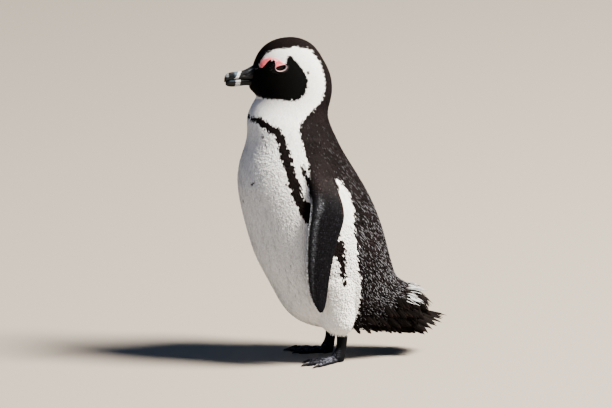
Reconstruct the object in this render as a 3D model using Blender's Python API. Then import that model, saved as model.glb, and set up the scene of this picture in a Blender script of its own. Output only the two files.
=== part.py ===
"""African penguin, standing: a still, life-size model parted into the pieces a person would name.

Metres, +Z up. The bird looks along -Y, its left side is +X, and it stands on the plane z = 0 with the
middle of its box over the origin. The plumage is part of each solid, out to the tips of the feathers.
"""

import math

import bmesh
import bpy
import numpy as np
from mathutils import Euler, Matrix, Vector

MM = 0.001

# Driving sizes
JOIN_GAP = 0.3 * MM  # clear space where two pieces meet
CLEARANCE = 0.4 * MM  # what a form is swollen by to cut the pieces that meet it
BODY_SEGMENTS = 36  # points round each section of head, neck, trunk and tail
LEG_X = 42 * MM  # from the bird's middle to each heel
FOOT_SPLAY = math.radians(19)  # how far each foot turns out
EYE_RADIUS = 11 * MM
EYE_PLACE = np.array([22.0, -109.5, 556.5]) * MM  # middle of the left eyeball
EYE_SLIT_RADII = (6 * MM, 10.5 * MM, 5.5 * MM)  # the hollow between the lids
EYE_SLIT_OUT = 14 * MM  # from the middle of the eyeball to the middle of the hollow
EYE_TILT = math.radians(-9)  # the front corner of the eye lies lower
FULLNESS = 0.88  # power of the sine in each section of the body: 1 is an ellipse, less is squarer

# Sections of the body from the base of the bill to the root of the tail. Each is an oval that stands
# across the bird: (name, y and z of its lowest or foremost point, y and z of its highest or rearmost
# point, half width), in mm. A smooth curve runs near them.
BODY_SECTIONS = (
    ("bill root", -158, 515, -152, 562, 11.5),
    ("lores", -154, 507, -144, 580, 20),
    ("forehead", -151, 502, -128, 596, 27),
    ("brow", -149, 499, -103, 605, 32),
    ("crown", -148, 497, -71, 604, 35),
    ("back of crown", -148.5, 495, -43, 588, 36.5),
    ("occiput", -150, 492, -24, 562, 37.5),
    ("upper nape", -152, 488, -12.5, 535, 38),
    ("nape", -155.5, 483, -8.5, 509, 38.5),
    ("throat", -159.5, 475.5, -11, 487, 40),
    ("neck", -164, 465, -16, 465, 43),
    ("neck root", -166.5, 450, -13.5, 445, 50),
    ("upper shoulder", -164, 425, 0, 416, 60),
    ("shoulder", -169, 402, 12, 390, 68),
    ("upper breast", -179, 377, 29, 363, 75),
    ("breast", -183.5, 346, 47, 333, 80.5),
    ("full breast", -182.5, 323, 59.5, 311, 84),
    ("upper belly", -176.5, 289, 76, 276, 88),
    ("widest", -166, 249, 89, 238, 90),
    ("belly", -154, 206, 98.5, 200, 90),
    ("lower belly", -138, 172, 104.5, 177, 88),
    ("flank", -118, 137, 109, 162, 84),
    ("thighs", -98, 104, 113, 152, 78),
    ("groin", -66, 75, 118, 145, 71),
    ("vent front", -20, 60, 125, 139.5, 64),
    ("vent", 30, 52, 135.5, 132.5, 56),
    ("under tail", 74, 46.5, 148.5, 124, 47),
    ("tail root", 110, 42.5, 161.5, 115.5, 39),
)
FACE_Y, FACE_Z = -160 * MM, 538.5 * MM  # the foremost point of the face, behind the bill
# Lengths of the body as (first section index, last section index, number of rings).
HEAD_SPAN = (0, 8.985, 16)
NECK_SPAN = (9.015, 11.493, 5)
TRUNK_SPAN = (11.507, 26.99, 27)

# Tail: the root section fans out into a roof of stiff feathers.
TAIL_HALF_SPREAD = 47 * MM
TAIL_TIP_Y, TAIL_TIP_Z = 209.3 * MM, 70 * MM
TAIL_SIDE_BACK, TAIL_SIDE_DROP = 51 * MM, 35 * MM  # how much shorter and lower its outer feathers end
TAIL_NOTCH = 7 * MM  # depth between two feather tips
TAIL_RINGS = 6
TAIL_EDGE = 1.0 * MM  # thickness at the tips

# Flipper sections from shoulder to tip: (z, leading edge y, trailing edge y, middle x, thickness), in mm.
FLIPPER_SECTIONS = (
    (396, -82, -40, 50, 12),
    (384, -83, -34, 59, 18),
    (366, -82, -27, 69.5, 21),
    (344, -76, -20, 80.5, 22),
    (320, -71, -12, 89.5, 19.5),
    (300, -71, -7, 94.5, 16),
    (280, -74, -6, 96.8, 13.5),
    (256, -77, -14, 97.5, 11.5),
    (228, -78.5, -22.5, 97, 10),
    (200, -78.5, -29, 95.5, 8.8),
    (172, -77, -33.5, 93.5, 7.8),
    (146, -73, -36.5, 91, 6.8),
    (126, -66, -38.5, 89, 5.8),
    (112, -57.5, -41, 87.5, 4.6),
    (104.5, -51.5, -45, 86.8, 3.2),
)
FLIPPER_RINGS = 22
FLIPPER_SEGMENTS = 16

# Leg: (z, middle x, middle y, half width, half depth), in mm, from inside the trunk down.
LEG_SECTIONS = (
    (112, 40, -8, 36, 42),
    (92, 41, -8, 34, 40),
    (74, 42, -6, 31, 36),
    (60, 42.5, -4, 26, 30),
    (52, 43, -3, 20, 23),
    (48, 43, -2.5, 15, 17),
)
LEG_SEGMENTS = 20
# Bare shank, as for the leg but with x measured from the heel.
TARSUS_SECTIONS = (
    (47.6, 0, 3.5, 9.0, 10.5),
    (38, 0, 3.0, 7.8, 9.6),
    (26, 0, 1.5, 7.4, 9.4),
    (16, 0, -2.0, 8.6, 11.5),
    (7, 0, -6.0, 10.0, 14.0),
    (-4, 0, -7.0, 9.0, 13.0),
)

# Toes: (name, angle from the foot's line in degrees, length, root width, tip width, root height,
# tip height), in mm.
TOES = (
    ("inner", -21, 55, 12, 8.5, 11, 7),
    ("middle", 0, 69, 13, 9, 12, 7.5),
    ("outer", 19, 63, 12, 8.5, 11, 7),
)
CLAW_LENGTH = 13.5 * MM
CLAW_DROOP = 2.6 * MM
CLAW_RADIUS, CLAW_TIP_RADIUS = 2.9 * MM, 0.6 * MM
CLAW_HEIGHT = 4.1 * MM  # of a claw's root above the floor
WEB_THICKNESS = 2.6 * MM
HALLUX_ANGLE = math.radians(35)  # how far the hind toe turns forwards from straight inwards
HALLUX_LENGTH = 15 * MM
HALLUX_WIDTHS, HALLUX_HEIGHTS = (7 * MM, 4.5 * MM), (7 * MM, 5 * MM)
HEEL_Y = -4 * MM  # where the toes meet
SOLE_SINK = 2 * MM  # how far below the floor each shape of a foot starts, before the floor cuts it

# Bill sections from inside the head to the tip: (y, upper edge z, lower edge z, half width), in mm.
UPPER_BILL = (
    (-136, 565, 527, 13),
    (-148, 559.5, 528, 11.5),
    (-157, 554.8, 529, 10.2),
    (-165, 550.3, 530, 9),
    (-173, 547, 530.8, 8),
    (-181, 545.3, 531.4, 7.2),
    (-189, 545, 531.8, 6.5),
    (-197, 544.6, 531.6, 5.6),
    (-203, 544, 530, 4.8),
    (-207, 541.5, 526.4, 3.8),
    (-209, 536, 523.2, 2.6),
    (-209.3, 529, 521.6, 1.4),
)
LOWER_BILL = (
    (-136, 526.4, 511.5, 11.5),
    (-150, 527.6, 514.5, 9.8),
    (-160, 528.8, 518.2, 8.3),
    (-170, 529.9, 519.4, 7),
    (-181, 530.8, 518.2, 6.1),
    (-191, 530.9, 517.6, 5.3),
    (-198, 529.7, 518.1, 4.4),
    (-202, 528, 519, 3.3),
    (-204.2, 526.2, 520.8, 2),
)
BILL_SEGMENTS = 14
BILL_RINGS = 15

BLACK = (0.012, 0.011, 0.012)
WHITE = (0.82, 0.83, 0.83)
BROWN_BLACK = (0.035, 0.026, 0.022)
HORN = (0.035, 0.036, 0.04)
FOOT_GREY = (0.045, 0.045, 0.05)
EYE_BROWN = (0.02, 0.012, 0.008)


def material(name, colour, roughness):
    """A Principled material of one colour."""
    made = bpy.data.materials.new(name)
    made.use_nodes = True
    shader = made.node_tree.nodes["Principled BSDF"]
    shader.inputs["Base Color"].default_value = (*colour, 1)
    shader.inputs["Roughness"].default_value = roughness
    shader.inputs["Metallic"].default_value = 0
    return made


def new_collection(name):
    made = bpy.data.collections.new(name)
    bpy.context.scene.collection.children.link(made)
    return made


def add_object(name, mesh, skin, group):
    made = bpy.data.objects.new(name, mesh)
    mesh.materials.append(skin)
    mesh.shade_smooth()
    mesh.set_sharp_from_angle(angle=math.radians(40))
    group.objects.link(made)
    return made


def spline_at(rows, at):
    """A uniform cubic B-spline through the ends of rows, read at the row indices in at."""
    rows = np.asarray(rows, float)
    padded = np.vstack([2 * rows[0] - rows[1], rows, 2 * rows[-1] - rows[-2]])
    at = np.clip(np.asarray(at, float), 0, len(rows) - 1)
    first = np.minimum(at.astype(int), len(rows) - 2)
    t = (at - first)[:, None]
    weights = ((1 - t) ** 3, 3 * t**3 - 6 * t**2 + 4, -3 * t**3 + 3 * t**2 + 3 * t + 1, t**3)
    return sum(w * padded[first + k] for k, w in enumerate(weights)) / 6


def loft_mesh(name, rings, cap_start=None, cap_end=None):
    """A closed skin over rings of equal length. A cap is a flat face, or a fan round the point given."""
    around = rings.shape[1]
    mesh = bpy.data.meshes.new(name)
    shape = bmesh.new()
    grid = [[shape.verts.new(p) for p in ring] for ring in rings]
    for low, high in zip(grid, grid[1:]):
        for k in range(around):
            j = (k + 1) % around
            shape.faces.new((low[k], low[j], high[j], high[k]))
    for ring, tip in ((grid[0][::-1], cap_start), (grid[-1], cap_end)):
        if tip is None:
            shape.faces.new(ring)
            continue
        point = shape.verts.new(tip)
        for k in range(around):
            shape.faces.new((ring[k], ring[(k + 1) % around], point))
    shape.normal_update()
    bmesh.ops.recalc_face_normals(shape, faces=shape.faces)
    shape.to_mesh(mesh)
    shape.free()
    return mesh


def body_rings(start, end, count, grow=0.0):
    """Upright ovals of the body between two section indices, swollen by grow."""
    rows = spline_at([row[1:] for row in BODY_SECTIONS], np.linspace(start, end, count)) * MM
    low, high, half = rows[:, 0:2], rows[:, 2:4], rows[:, 4:5] + grow
    along = (high - low) / np.linalg.norm(high - low, axis=1, keepdims=True)
    low, high = low - grow * along, high + grow * along
    angle = 2 * np.pi * np.arange(BODY_SEGMENTS) / BODY_SEGMENTS
    share = (1 - np.cos(angle)) / 2
    x = half * np.sign(np.sin(angle)) * np.abs(np.sin(angle)) ** FULLNESS
    yz = low[:, None] + (high - low)[:, None] * share[None, :, None]
    return np.concatenate([x[..., None], yz], axis=2)


def cut(target, cutter):
    """Takes cutter out of target."""
    modifier = target.modifiers.new("cut by " + cutter.name, "BOOLEAN")
    modifier.operation = "DIFFERENCE"
    modifier.object = cutter


def join(target, other):
    """Joins other to target, as one solid."""
    modifier = target.modifiers.new("join " + other.name, "BOOLEAN")
    modifier.operation = "UNION"
    modifier.object = other


def add_helper(name, mesh, group):
    """A cutter or a shape that is joined to a part: not a part itself."""
    made = bpy.data.objects.new(name, mesh)
    made.hide_render = True
    made.display_type = "WIRE"
    group.objects.link(made)
    return made


def ellipsoid_mesh(name, radii, place, tilt=0.0):
    """A round or oval ball, tilted about X."""
    mesh = bpy.data.meshes.new(name)
    shape = bmesh.new()
    stand = Matrix.LocRotScale(Vector(place), Euler((tilt, 0, 0)), Vector(radii))
    bmesh.ops.create_uvsphere(shape, u_segments=18, v_segments=10, radius=1, matrix=stand)
    shape.to_mesh(mesh)
    shape.free()
    return mesh


def box_mesh(name, low, high):
    """A box between two corners."""
    (x0, y0, z0), (x1, y1, z1) = low, high
    base = np.array([(x0, y0, z0), (x1, y0, z0), (x1, y1, z0), (x0, y1, z0)])
    return loft_mesh(name, np.stack([base, base + [0, 0, z1 - z0]]))


def mirrored(points, side):
    """The left side's points, or the same points on the right side."""
    return points * np.array([side, 1, 1])


def make_body(parts, helpers, skins):
    """Head, neck and trunk are lengths of one form, with flat cuts between them."""
    head_mesh = loft_mesh("head", body_rings(*HEAD_SPAN), cap_start=(0, FACE_Y, FACE_Z))
    head = add_object("head", head_mesh, skins["black"], parts)
    for name, side in (("left", 1), ("right", -1)):
        place = EYE_PLACE * np.array([side, 1, 1])
        socket = ellipsoid_mesh("socket_" + name, (EYE_RADIUS + JOIN_GAP,) * 3, place)
        cut(head, add_helper("socket_" + name, socket, helpers))
        slit_place = place + [side * EYE_SLIT_OUT, 0, 0]
        slit = ellipsoid_mesh("eye_slit_" + name, EYE_SLIT_RADII, slit_place, EYE_TILT)
        cut(head, add_helper("eye_slit_" + name, slit, helpers))
        eye = ellipsoid_mesh("eye_" + name, (EYE_RADIUS,) * 3, place)
        add_object("eye_" + name, eye, skins["eye"], parts)
    add_object("neck", loft_mesh("neck", body_rings(*NECK_SPAN)), skins["white"], parts)
    add_object("trunk", loft_mesh("trunk", body_rings(*TRUNK_SPAN)), skins["white"], parts)


def make_tail(parts, skins):
    """The last section of the body, drawn out straight to a notched, roof-shaped edge of feather tips."""
    root = body_rings(len(BODY_SECTIONS) - 1, len(BODY_SECTIONS) - 1, 2)[0]
    angle = 2 * np.pi * np.arange(BODY_SEGMENTS) / BODY_SEGMENTS
    spread = np.sin(angle)
    upper = -np.cos(angle)
    notch = TAIL_NOTCH * (np.arange(BODY_SEGMENTS) % 2)
    edge = np.stack(
        [
            TAIL_HALF_SPREAD * spread,
            TAIL_TIP_Y - TAIL_SIDE_BACK * spread**2 - notch,
            TAIL_TIP_Z - TAIL_SIDE_DROP * np.abs(spread) ** 1.5 + upper * TAIL_EDGE / 2,
        ],
        axis=1,
    )
    share = np.linspace(0, 1, TAIL_RINGS)[:, None, None]
    add_object("tail", loft_mesh("tail", root + (edge - root) * share), skins["brown"], parts)


def flipper_rings():
    """Sections like a thin wing's, blunt in front and sharp behind, from the shoulder to the tip."""
    rows = spline_at(FLIPPER_SECTIONS, np.linspace(0, len(FLIPPER_SECTIONS) - 1, FLIPPER_RINGS)) * MM
    angle = 2 * np.pi * np.arange(FLIPPER_SEGMENTS) / FLIPPER_SEGMENTS
    chord = (1 - np.cos(angle)) / 2
    depth = np.sin(angle) * (1 - 0.45 * chord)
    z, lead, trail, middle, thick = (rows[:, k : k + 1] for k in range(5))
    x = middle + thick / 2 * depth * 1.25
    y = lead + (trail - lead) * chord
    return np.stack([x, y, np.broadcast_to(z, x.shape)], axis=2)


def make_flippers(parts, helpers, skins):
    """Each flipper comes out of the side of the trunk, and is cut to meet it."""
    swollen = body_rings(*TRUNK_SPAN, grow=CLEARANCE)
    clearance = add_helper("trunk_clearance", loft_mesh("trunk_clearance", swollen), helpers)
    for name, side in (("left", 1), ("right", -1)):
        rings = mirrored(flipper_rings(), side)
        mesh = loft_mesh("flipper_" + name, rings)
        cut(add_object("flipper_" + name, mesh, skins["black"], parts), clearance)
    return clearance


def oval_rings(sections, count, segments):
    """Level ovals from rows of (z, middle x, middle y, half width, half depth), in mm."""
    rows = spline_at(sections, np.linspace(0, len(sections) - 1, count)) * MM
    angle = 2 * np.pi * np.arange(segments) / segments
    x = rows[:, 1:2] + rows[:, 3:4] * np.cos(angle)
    y = rows[:, 2:3] + rows[:, 4:5] * np.sin(angle)
    return np.stack([x, y, np.broadcast_to(rows[:, 0:1], x.shape)], axis=2)


def foot_line(side):
    """The direction in which a foot points, and the direction to its outer side."""
    forward = np.array([side * math.sin(FOOT_SPLAY), -math.cos(FOOT_SPLAY), 0])
    outward = np.array([side * math.cos(FOOT_SPLAY), math.sin(FOOT_SPLAY), 0])
    return forward, outward


def toe_rings(root, heading, length, widths, heights, sink, count=5):
    """Arched sections along a toe that swells at its joints. Their feet reach sink below the floor."""
    across = np.array([-heading[1], heading[0], 0])
    angle = np.linspace(0, np.pi, 9)
    rings = []
    for share in np.linspace(0, 1, count):
        swell = 1 + 0.07 * math.cos(4 * math.pi * share)
        width = (widths[0] + (widths[1] - widths[0]) * share) * swell / 2
        height = (heights[0] + (heights[1] - heights[0]) * share) * swell
        middle = root + heading * length * share
        rise = height * np.sin(angle).clip(0) ** 0.7
        rise[[0, -1]] = -sink
        rings.append(middle + across * (width * np.cos(angle))[:, None] + rise[:, None] * [0, 0, 1])
    return np.array(rings)


def web_rings(heel, headings, lengths, thickness, sink):
    """The outline of the sheet between heel and toes, scalloped between their tips, at both its levels."""
    outline = [heel - headings[1] * 10 * MM]
    for k, (heading, length) in enumerate(zip(headings, lengths)):
        outline.append(heel + heading * length * 0.93)
        if k < 2:
            middle = heading + headings[k + 1]
            middle = middle / np.linalg.norm(middle)
            outline.append(heel + middle * min(length, lengths[k + 1]) * 0.84)
    outline = np.array(outline)
    return np.stack([outline - [0, 0, sink], outline + [0, 0, thickness]])


def claw_mesh(name, base, heading):
    """A cone that points forwards from an upright base and droops to just above the floor."""
    mesh = bpy.data.meshes.new(name)
    shape = bmesh.new()
    bmesh.ops.create_cone(
        shape, cap_ends=True, segments=8, radius1=CLAW_RADIUS, radius2=CLAW_TIP_RADIUS, depth=CLAW_LENGTH
    )
    lengthwise = [e for e in shape.edges if abs(e.verts[0].co.z - e.verts[1].co.z) > MM]
    bmesh.ops.subdivide_edges(shape, edges=lengthwise, cuts=2)
    across = np.array([-heading[1], heading[0], 0])
    for vert in shape.verts:
        x, y, z = vert.co
        share = max(z / CLAW_LENGTH + 0.5, 0)
        rise = y * 1.15 - CLAW_DROOP * share**1.8
        vert.co = base + across * x + heading * (z + CLAW_LENGTH / 2) + np.array([0, 0, rise])
    shape.normal_update()
    bmesh.ops.recalc_face_normals(shape, faces=shape.faces)
    shape.to_mesh(mesh)
    shape.free()
    return mesh


def make_foot(name, side, floor, parts, helpers, skins):
    """Bare shank, three webbed toes with claws and a small hind toe, cut off level with the floor."""
    heel = np.array([side * LEG_X, HEEL_Y, 0])
    forward, outward = foot_line(side)
    rings = mirrored(oval_rings(TARSUS_SECTIONS, 9, 14), side) + np.array([side * LEG_X, 0, 0])
    foot = add_object("foot_" + name, loft_mesh("foot_" + name, rings), skins["foot"], parts)
    headings, lengths = [], []
    for k, (toe, angle, length, root_width, tip_width, root_height, tip_height) in enumerate(TOES):
        turn = math.radians(angle)
        heading = forward * math.cos(turn) + outward * math.sin(turn)
        headings.append(heading)
        lengths.append(length * MM)
        widths, heights = (root_width * MM, tip_width * MM), (root_height * MM, tip_height * MM)
        rings = toe_rings(heel, heading, length * MM, widths, heights, SOLE_SINK + k * JOIN_GAP)
        join(foot, add_helper(f"toe_{name}_{toe}", loft_mesh(f"toe_{name}_{toe}", rings), helpers))
        base = heel + heading * (length * MM + JOIN_GAP) + np.array([0, 0, CLAW_HEIGHT])
        claw = f"claw_{name}_{toe}"
        add_object(claw, claw_mesh(claw, base, heading), skins["horn"], parts)
    rings = web_rings(heel, headings, lengths, WEB_THICKNESS, SOLE_SINK + 3 * JOIN_GAP)
    join(foot, add_helper("web_" + name, loft_mesh("web_" + name, rings), helpers))
    inward = forward * math.sin(HALLUX_ANGLE) - outward * math.cos(HALLUX_ANGLE)
    hallux_root = heel - forward * 4 * MM
    sink = SOLE_SINK - JOIN_GAP
    rings = toe_rings(hallux_root, inward, HALLUX_LENGTH, HALLUX_WIDTHS, HALLUX_HEIGHTS, sink)
    join(foot, add_helper("hallux_" + name, loft_mesh("hallux_" + name, rings), helpers))
    cut(foot, floor)


def make_legs(parts, helpers, skins, trunk_clearance):
    """Each feathered leg hangs from the trunk to a flat end, on which the bare foot stands."""
    floor = add_helper("floor", box_mesh("floor", (-0.2, -0.2, -0.02), (0.2, 0.2, 0)), helpers)
    for name, side in (("left", 1), ("right", -1)):
        rings = mirrored(oval_rings(LEG_SECTIONS, 9, LEG_SEGMENTS), side)
        leg = add_object("leg_" + name, loft_mesh("leg_" + name, rings), skins["white"], parts)
        cut(leg, trunk_clearance)
        make_foot(name, side, floor, parts, helpers, skins)


def bill_rings(sections, ridge):
    """Sections of the upper or lower bill, drawn in towards the ridge, which is its top or bottom."""
    rows = spline_at(sections, np.linspace(0, len(sections) - 1, BILL_RINGS)) * MM
    angle = 2 * np.pi * (np.arange(BILL_SEGMENTS) + 0.5) / BILL_SEGMENTS
    y, top, bottom, half = (rows[:, k : k + 1] for k in range(4))
    height = (1 - np.cos(angle)) / 2
    outer = height if ridge == "top" else 1 - height
    width = np.abs(np.sin(angle)) ** 0.75 * (1 - 0.42 * outer) * 1.12
    x = half * width * np.sign(np.sin(angle))
    z = bottom + (top - bottom) * height
    return np.stack([x, np.broadcast_to(y, x.shape), z], axis=2)


def make_bill(parts, helpers, skins):
    """Upper and lower bill, closed, each cut where it enters the feathered face."""
    swollen = body_rings(*HEAD_SPAN, grow=CLEARANCE)
    face_mesh = loft_mesh("face_clearance", swollen, cap_start=(0, FACE_Y - CLEARANCE, FACE_Z))
    face = add_helper("face_clearance", face_mesh, helpers)
    for name, sections, ridge in (("bill_upper", UPPER_BILL, "top"), ("bill_lower", LOWER_BILL, "bottom")):
        mesh = loft_mesh(name, bill_rings(sections, ridge))
        cut(add_object(name, mesh, skins["horn"], parts), face)


def main():
    for old in list(bpy.data.objects):
        bpy.data.objects.remove(old)
    parts = new_collection("african_penguin")
    helpers = new_collection("helpers")
    skins = {
        "black": material("black feathers", BLACK, 0.6),
        "white": material("white feathers", WHITE, 0.7),
        "brown": material("brown-black feathers", BROWN_BLACK, 0.7),
        "horn": material("black horn", HORN, 0.35),
        "foot": material("grey foot skin", FOOT_GREY, 0.55),
        "eye": material("dark brown eye", EYE_BROWN, 0.08),
    }
    make_body(parts, helpers, skins)
    make_tail(parts, skins)
    clearance = make_flippers(parts, helpers, skins)
    make_legs(parts, helpers, skins, clearance)
    make_bill(parts, helpers, skins)


main()
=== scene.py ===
import math

import bpy
import numpy as np
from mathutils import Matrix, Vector


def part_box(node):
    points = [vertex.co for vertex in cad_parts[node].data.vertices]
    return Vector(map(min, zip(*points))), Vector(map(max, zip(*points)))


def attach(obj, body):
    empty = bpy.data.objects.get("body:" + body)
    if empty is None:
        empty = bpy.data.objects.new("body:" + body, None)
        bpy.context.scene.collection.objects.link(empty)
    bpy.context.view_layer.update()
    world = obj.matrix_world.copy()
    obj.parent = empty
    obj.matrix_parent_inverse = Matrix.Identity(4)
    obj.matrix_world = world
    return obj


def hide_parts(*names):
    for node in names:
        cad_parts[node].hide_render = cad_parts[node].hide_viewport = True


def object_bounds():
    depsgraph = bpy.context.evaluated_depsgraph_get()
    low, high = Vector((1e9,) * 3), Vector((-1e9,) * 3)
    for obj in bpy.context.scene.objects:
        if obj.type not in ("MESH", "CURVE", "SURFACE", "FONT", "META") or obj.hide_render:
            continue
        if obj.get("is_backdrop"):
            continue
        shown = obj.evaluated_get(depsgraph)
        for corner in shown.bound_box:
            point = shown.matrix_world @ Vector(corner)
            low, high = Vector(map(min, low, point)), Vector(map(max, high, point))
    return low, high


# African penguin, standing: a life-size museum model. One skin carries the whole coat, which is made vane by
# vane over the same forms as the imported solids. The bird looks along -Y and its left side is +X. Tables are
# in mm; MM turns them to metres. A place on a form is (s, a, out): s counts its sections, a goes round them,
# and out is the distance in mm outside its outline, which is the tips of the feathers.

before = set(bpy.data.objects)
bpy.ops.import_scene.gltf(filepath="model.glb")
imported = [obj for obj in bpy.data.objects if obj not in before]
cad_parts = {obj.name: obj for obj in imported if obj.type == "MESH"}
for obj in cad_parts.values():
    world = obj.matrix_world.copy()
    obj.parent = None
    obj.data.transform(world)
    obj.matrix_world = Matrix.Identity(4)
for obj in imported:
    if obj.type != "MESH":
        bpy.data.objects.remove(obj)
cad_low, cad_high = (list(corner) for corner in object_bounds())
STANDING_HEIGHT = 603.77
MM = (cad_high[2] - cad_low[2]) / STANDING_HEIGHT
random = np.random.default_rng(7)
GOLDEN = (math.sqrt(5) - 1) / 2
UP = np.array([0, 0, 1.0])

# ---- forms

# Sections of the body from the base of the bill over the crown (5th), nape (9th), shoulder (14th) and widest
# (19th) to the root of the tail: y and z of the lowest point, y and z of the highest point, half width.
BODY_SECTIONS = (
    (-162, 513, -152, 562, 11.5), (-157.5, 507.8, -144, 580, 20), (-153, 503.3, -128, 596, 27),
    (-150, 499.3, -103, 605, 32), (-148.5, 496, -70, 605.5, 35), (-148, 494, -40, 590.5, 36.5),
    (-149.5, 491, -23, 561.5, 37.5), (-152, 488, -9.5, 536, 38), (-155.5, 483, -5.5, 509, 38.5),
    (-159.5, 475.5, -8.5, 487, 40), (-164, 465, -16, 465, 43), (-166.5, 450, -13.5, 445, 50),
    (-164, 425, 0, 416, 60), (-169, 402, 12, 390, 68), (-179, 377, 29, 363, 75),
    (-183.5, 346, 47, 333, 80.5), (-182.5, 323, 59.5, 311, 84), (-176.5, 289, 76, 276, 88),
    (-166, 249, 89, 238, 90), (-154, 206, 98.5, 200, 90), (-138, 172, 104.5, 177, 88),
    (-118, 137, 109, 162, 84), (-99, 97, 113, 152, 78), (-68, 68, 118, 145, 71),
    (-20, 56, 125, 139.5, 64), (30, 52, 135.5, 132.5, 56), (74, 46.5, 148.5, 124, 47),
    (110, 42.5, 161.5, 115.5, 39),
)  # fmt: skip
FULLNESS = 0.88
TAIL_HALF_SPREAD, TAIL_TIP_Y, TAIL_TIP_Z = 47, 209.3, 70
TAIL_SIDE_BACK, TAIL_SIDE_DROP = 51, 35
TAIL_ROOT = len(BODY_SECTIONS) - 1

# z, leading edge y, trailing edge y, middle x, thickness
FLIPPER_SECTIONS = (
    (396, -77, -40, 50, 12), (384, -77, -34, 59, 18), (366, -75, -27, 69.5, 21), (344, -69, -20, 80.5, 22),
    (320, -68, -12, 89.5, 19.5), (300, -70, -7, 94.5, 16), (280, -73, -6, 96.8, 13.5),
    (256, -77, -14, 97.5, 11.5), (228, -78.5, -22.5, 97, 10), (200, -78.5, -29, 95.5, 8.8),
    (172, -77, -33.5, 93.5, 7.8), (146, -73, -36.5, 91, 6.8), (126, -66, -38.5, 89, 5.8),
    (112, -57.5, -41, 87.5, 4.6), (104.5, -51.5, -45, 86.8, 3.2),
)  # fmt: skip
# The feathered thigh, carried up inside the flank so that the two run together: z, middle x, middle y,
# half width, half depth.
THIGH_SECTIONS = (
    (186, 45, -12, 39, 62), (166, 45, -12, 43, 61), (144, 44, -11, 43.5, 56), (122, 42.5, -9.5, 40.5, 50),
    (102, 41.5, -8.5, 37.5, 45), (86, 41.5, -7.5, 34.5, 39.5), (74, 42, -6, 31, 35),
    (64, 42.5, -4.5, 26, 29), (57.5, 43, -3.5, 19.5, 22), (53.5, 43, -3, 14, 16.5),
)  # fmt: skip
# As for the thigh, with x measured from the heel.
SHANK_SECTIONS = (
    (54, 0, 3.5, 9.0, 10.5), (38, 0, 3.0, 7.8, 9.6), (26, 0, 1.5, 7.4, 9.4), (16, 0, -2.0, 8.6, 11.5),
    (7, 0, -6.0, 10.0, 14.0), (0.6, 0, -7.0, 9.0, 13.0),
)  # fmt: skip
LEG_X, HEEL_Y, FOOT_SPLAY = 42, -4, math.radians(19)
# Angle from the foot's line, length, root width, tip width, root height, tip height.
TOES = ((-21, 55, 12, 8.5, 11, 7), (0, 69, 13, 9, 12, 7.5), (19, 63, 12, 8.5, 11, 7))
HIND_TOE = (15, 7, 4.5, 7, 5)
HIND_TOE_TURN = math.radians(35)
TOE_SCALE, SHANK_SCALE, REMESH_SIZE = 3.4, 3.6, 0.9
CLAW_LENGTH, CLAW_DROOP, CLAW_RADIUS, CLAW_TIP_RADIUS, CLAW_HEIGHT = 13.5, 2.6, 2.9, 0.6, 4.1
CLAW_OVERLAP = 1.5  # how far the claw starts inside the toe

# y, upper edge z, lower edge z, half width
UPPER_BILL = (
    (-136, 565, 527, 13), (-148, 559.5, 528, 11.5), (-157, 554.8, 529, 10.2), (-165, 550.3, 530, 9),
    (-173, 547, 530.8, 8), (-181, 545.3, 531.4, 7.2), (-189, 545, 531.8, 6.5), (-197, 544.6, 531.4, 5.6),
    (-202, 543.7, 530.6, 4.9), (-205.6, 541.6, 528.6, 4.0), (-208.3, 538.2, 527.0, 2.9),
    (-209.3, 533.6, 526.4, 1.6),
)  # fmt: skip
LOWER_BILL = (
    (-136, 526.4, 511.5, 11.5), (-150, 527.6, 514.5, 9.8), (-160, 528.8, 518.2, 8.3), (-170, 529.9, 519.4, 7),
    (-181, 530.8, 518.2, 6.1), (-191, 530.9, 517.4, 5.3), (-199, 530.2, 517.8, 4.5),
    (-204, 528.2, 519.2, 3.5), (-206.8, 526.0, 521.4, 2),
)  # fmt: skip

eye_low, eye_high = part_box("eye_left")
EYE_MIDDLE = np.array((eye_low + eye_high) / 2) / MM
EYE_RADIUS = (eye_high.x - eye_low.x) / 2 / MM
EYE_TILT = math.radians(9)  # the rear corner of the eye lies higher
LIDS_MIDDLE = (-110.1, 555.2)  # y, z
LIDS_HALF = (11.1, 6.8)  # along the eye and across it


def both_sides(seed=0):
    """Name, sign along X and seed of the left and of the right side."""
    return ("left", 1, seed), ("right", -1, seed + 1)


def beside(*parts):
    """Arrays or numbers, brought to one shape and laid side by side along a new last axis."""
    return np.stack(np.broadcast_arrays(*parts), axis=-1)


def unit(vectors):
    """Each vector divided by its length."""
    return vectors / np.linalg.norm(vectors, axis=-1, keepdims=True)


def ramp(low, high, value):
    """3t^2 - 2t^3 of t = (value - low) / (high - low), kept within 0 and 1."""
    t = np.clip((value - low) / (high - low), 0, 1)
    return t * t * (3 - 2 * t)


def bell(value, middle, width):
    """exp(-t^2) of t = (value - middle) / width."""
    return np.exp(-(((value - middle) / width) ** 2))


def mix(first, second, share):
    """first + (second - first) share, with one share for all the numbers of a colour or place."""
    return first + (second - first) * np.asarray(share)[..., None]


def painted(colour, *coats):
    """The colour with others laid over it in turn, each by its own share."""
    for other, share in coats:
        colour = mix(colour, other, share)
    return colour


def grid(low, high, rows, columns, turn=2 * np.pi):
    """Two parameters as whole arrays: low to high down the rows, and once round, 0 to turn, along them."""
    around = np.linspace(0, turn, columns, endpoint=False)
    return np.meshgrid(np.linspace(low, high, rows), around, indexing="ij")


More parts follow.
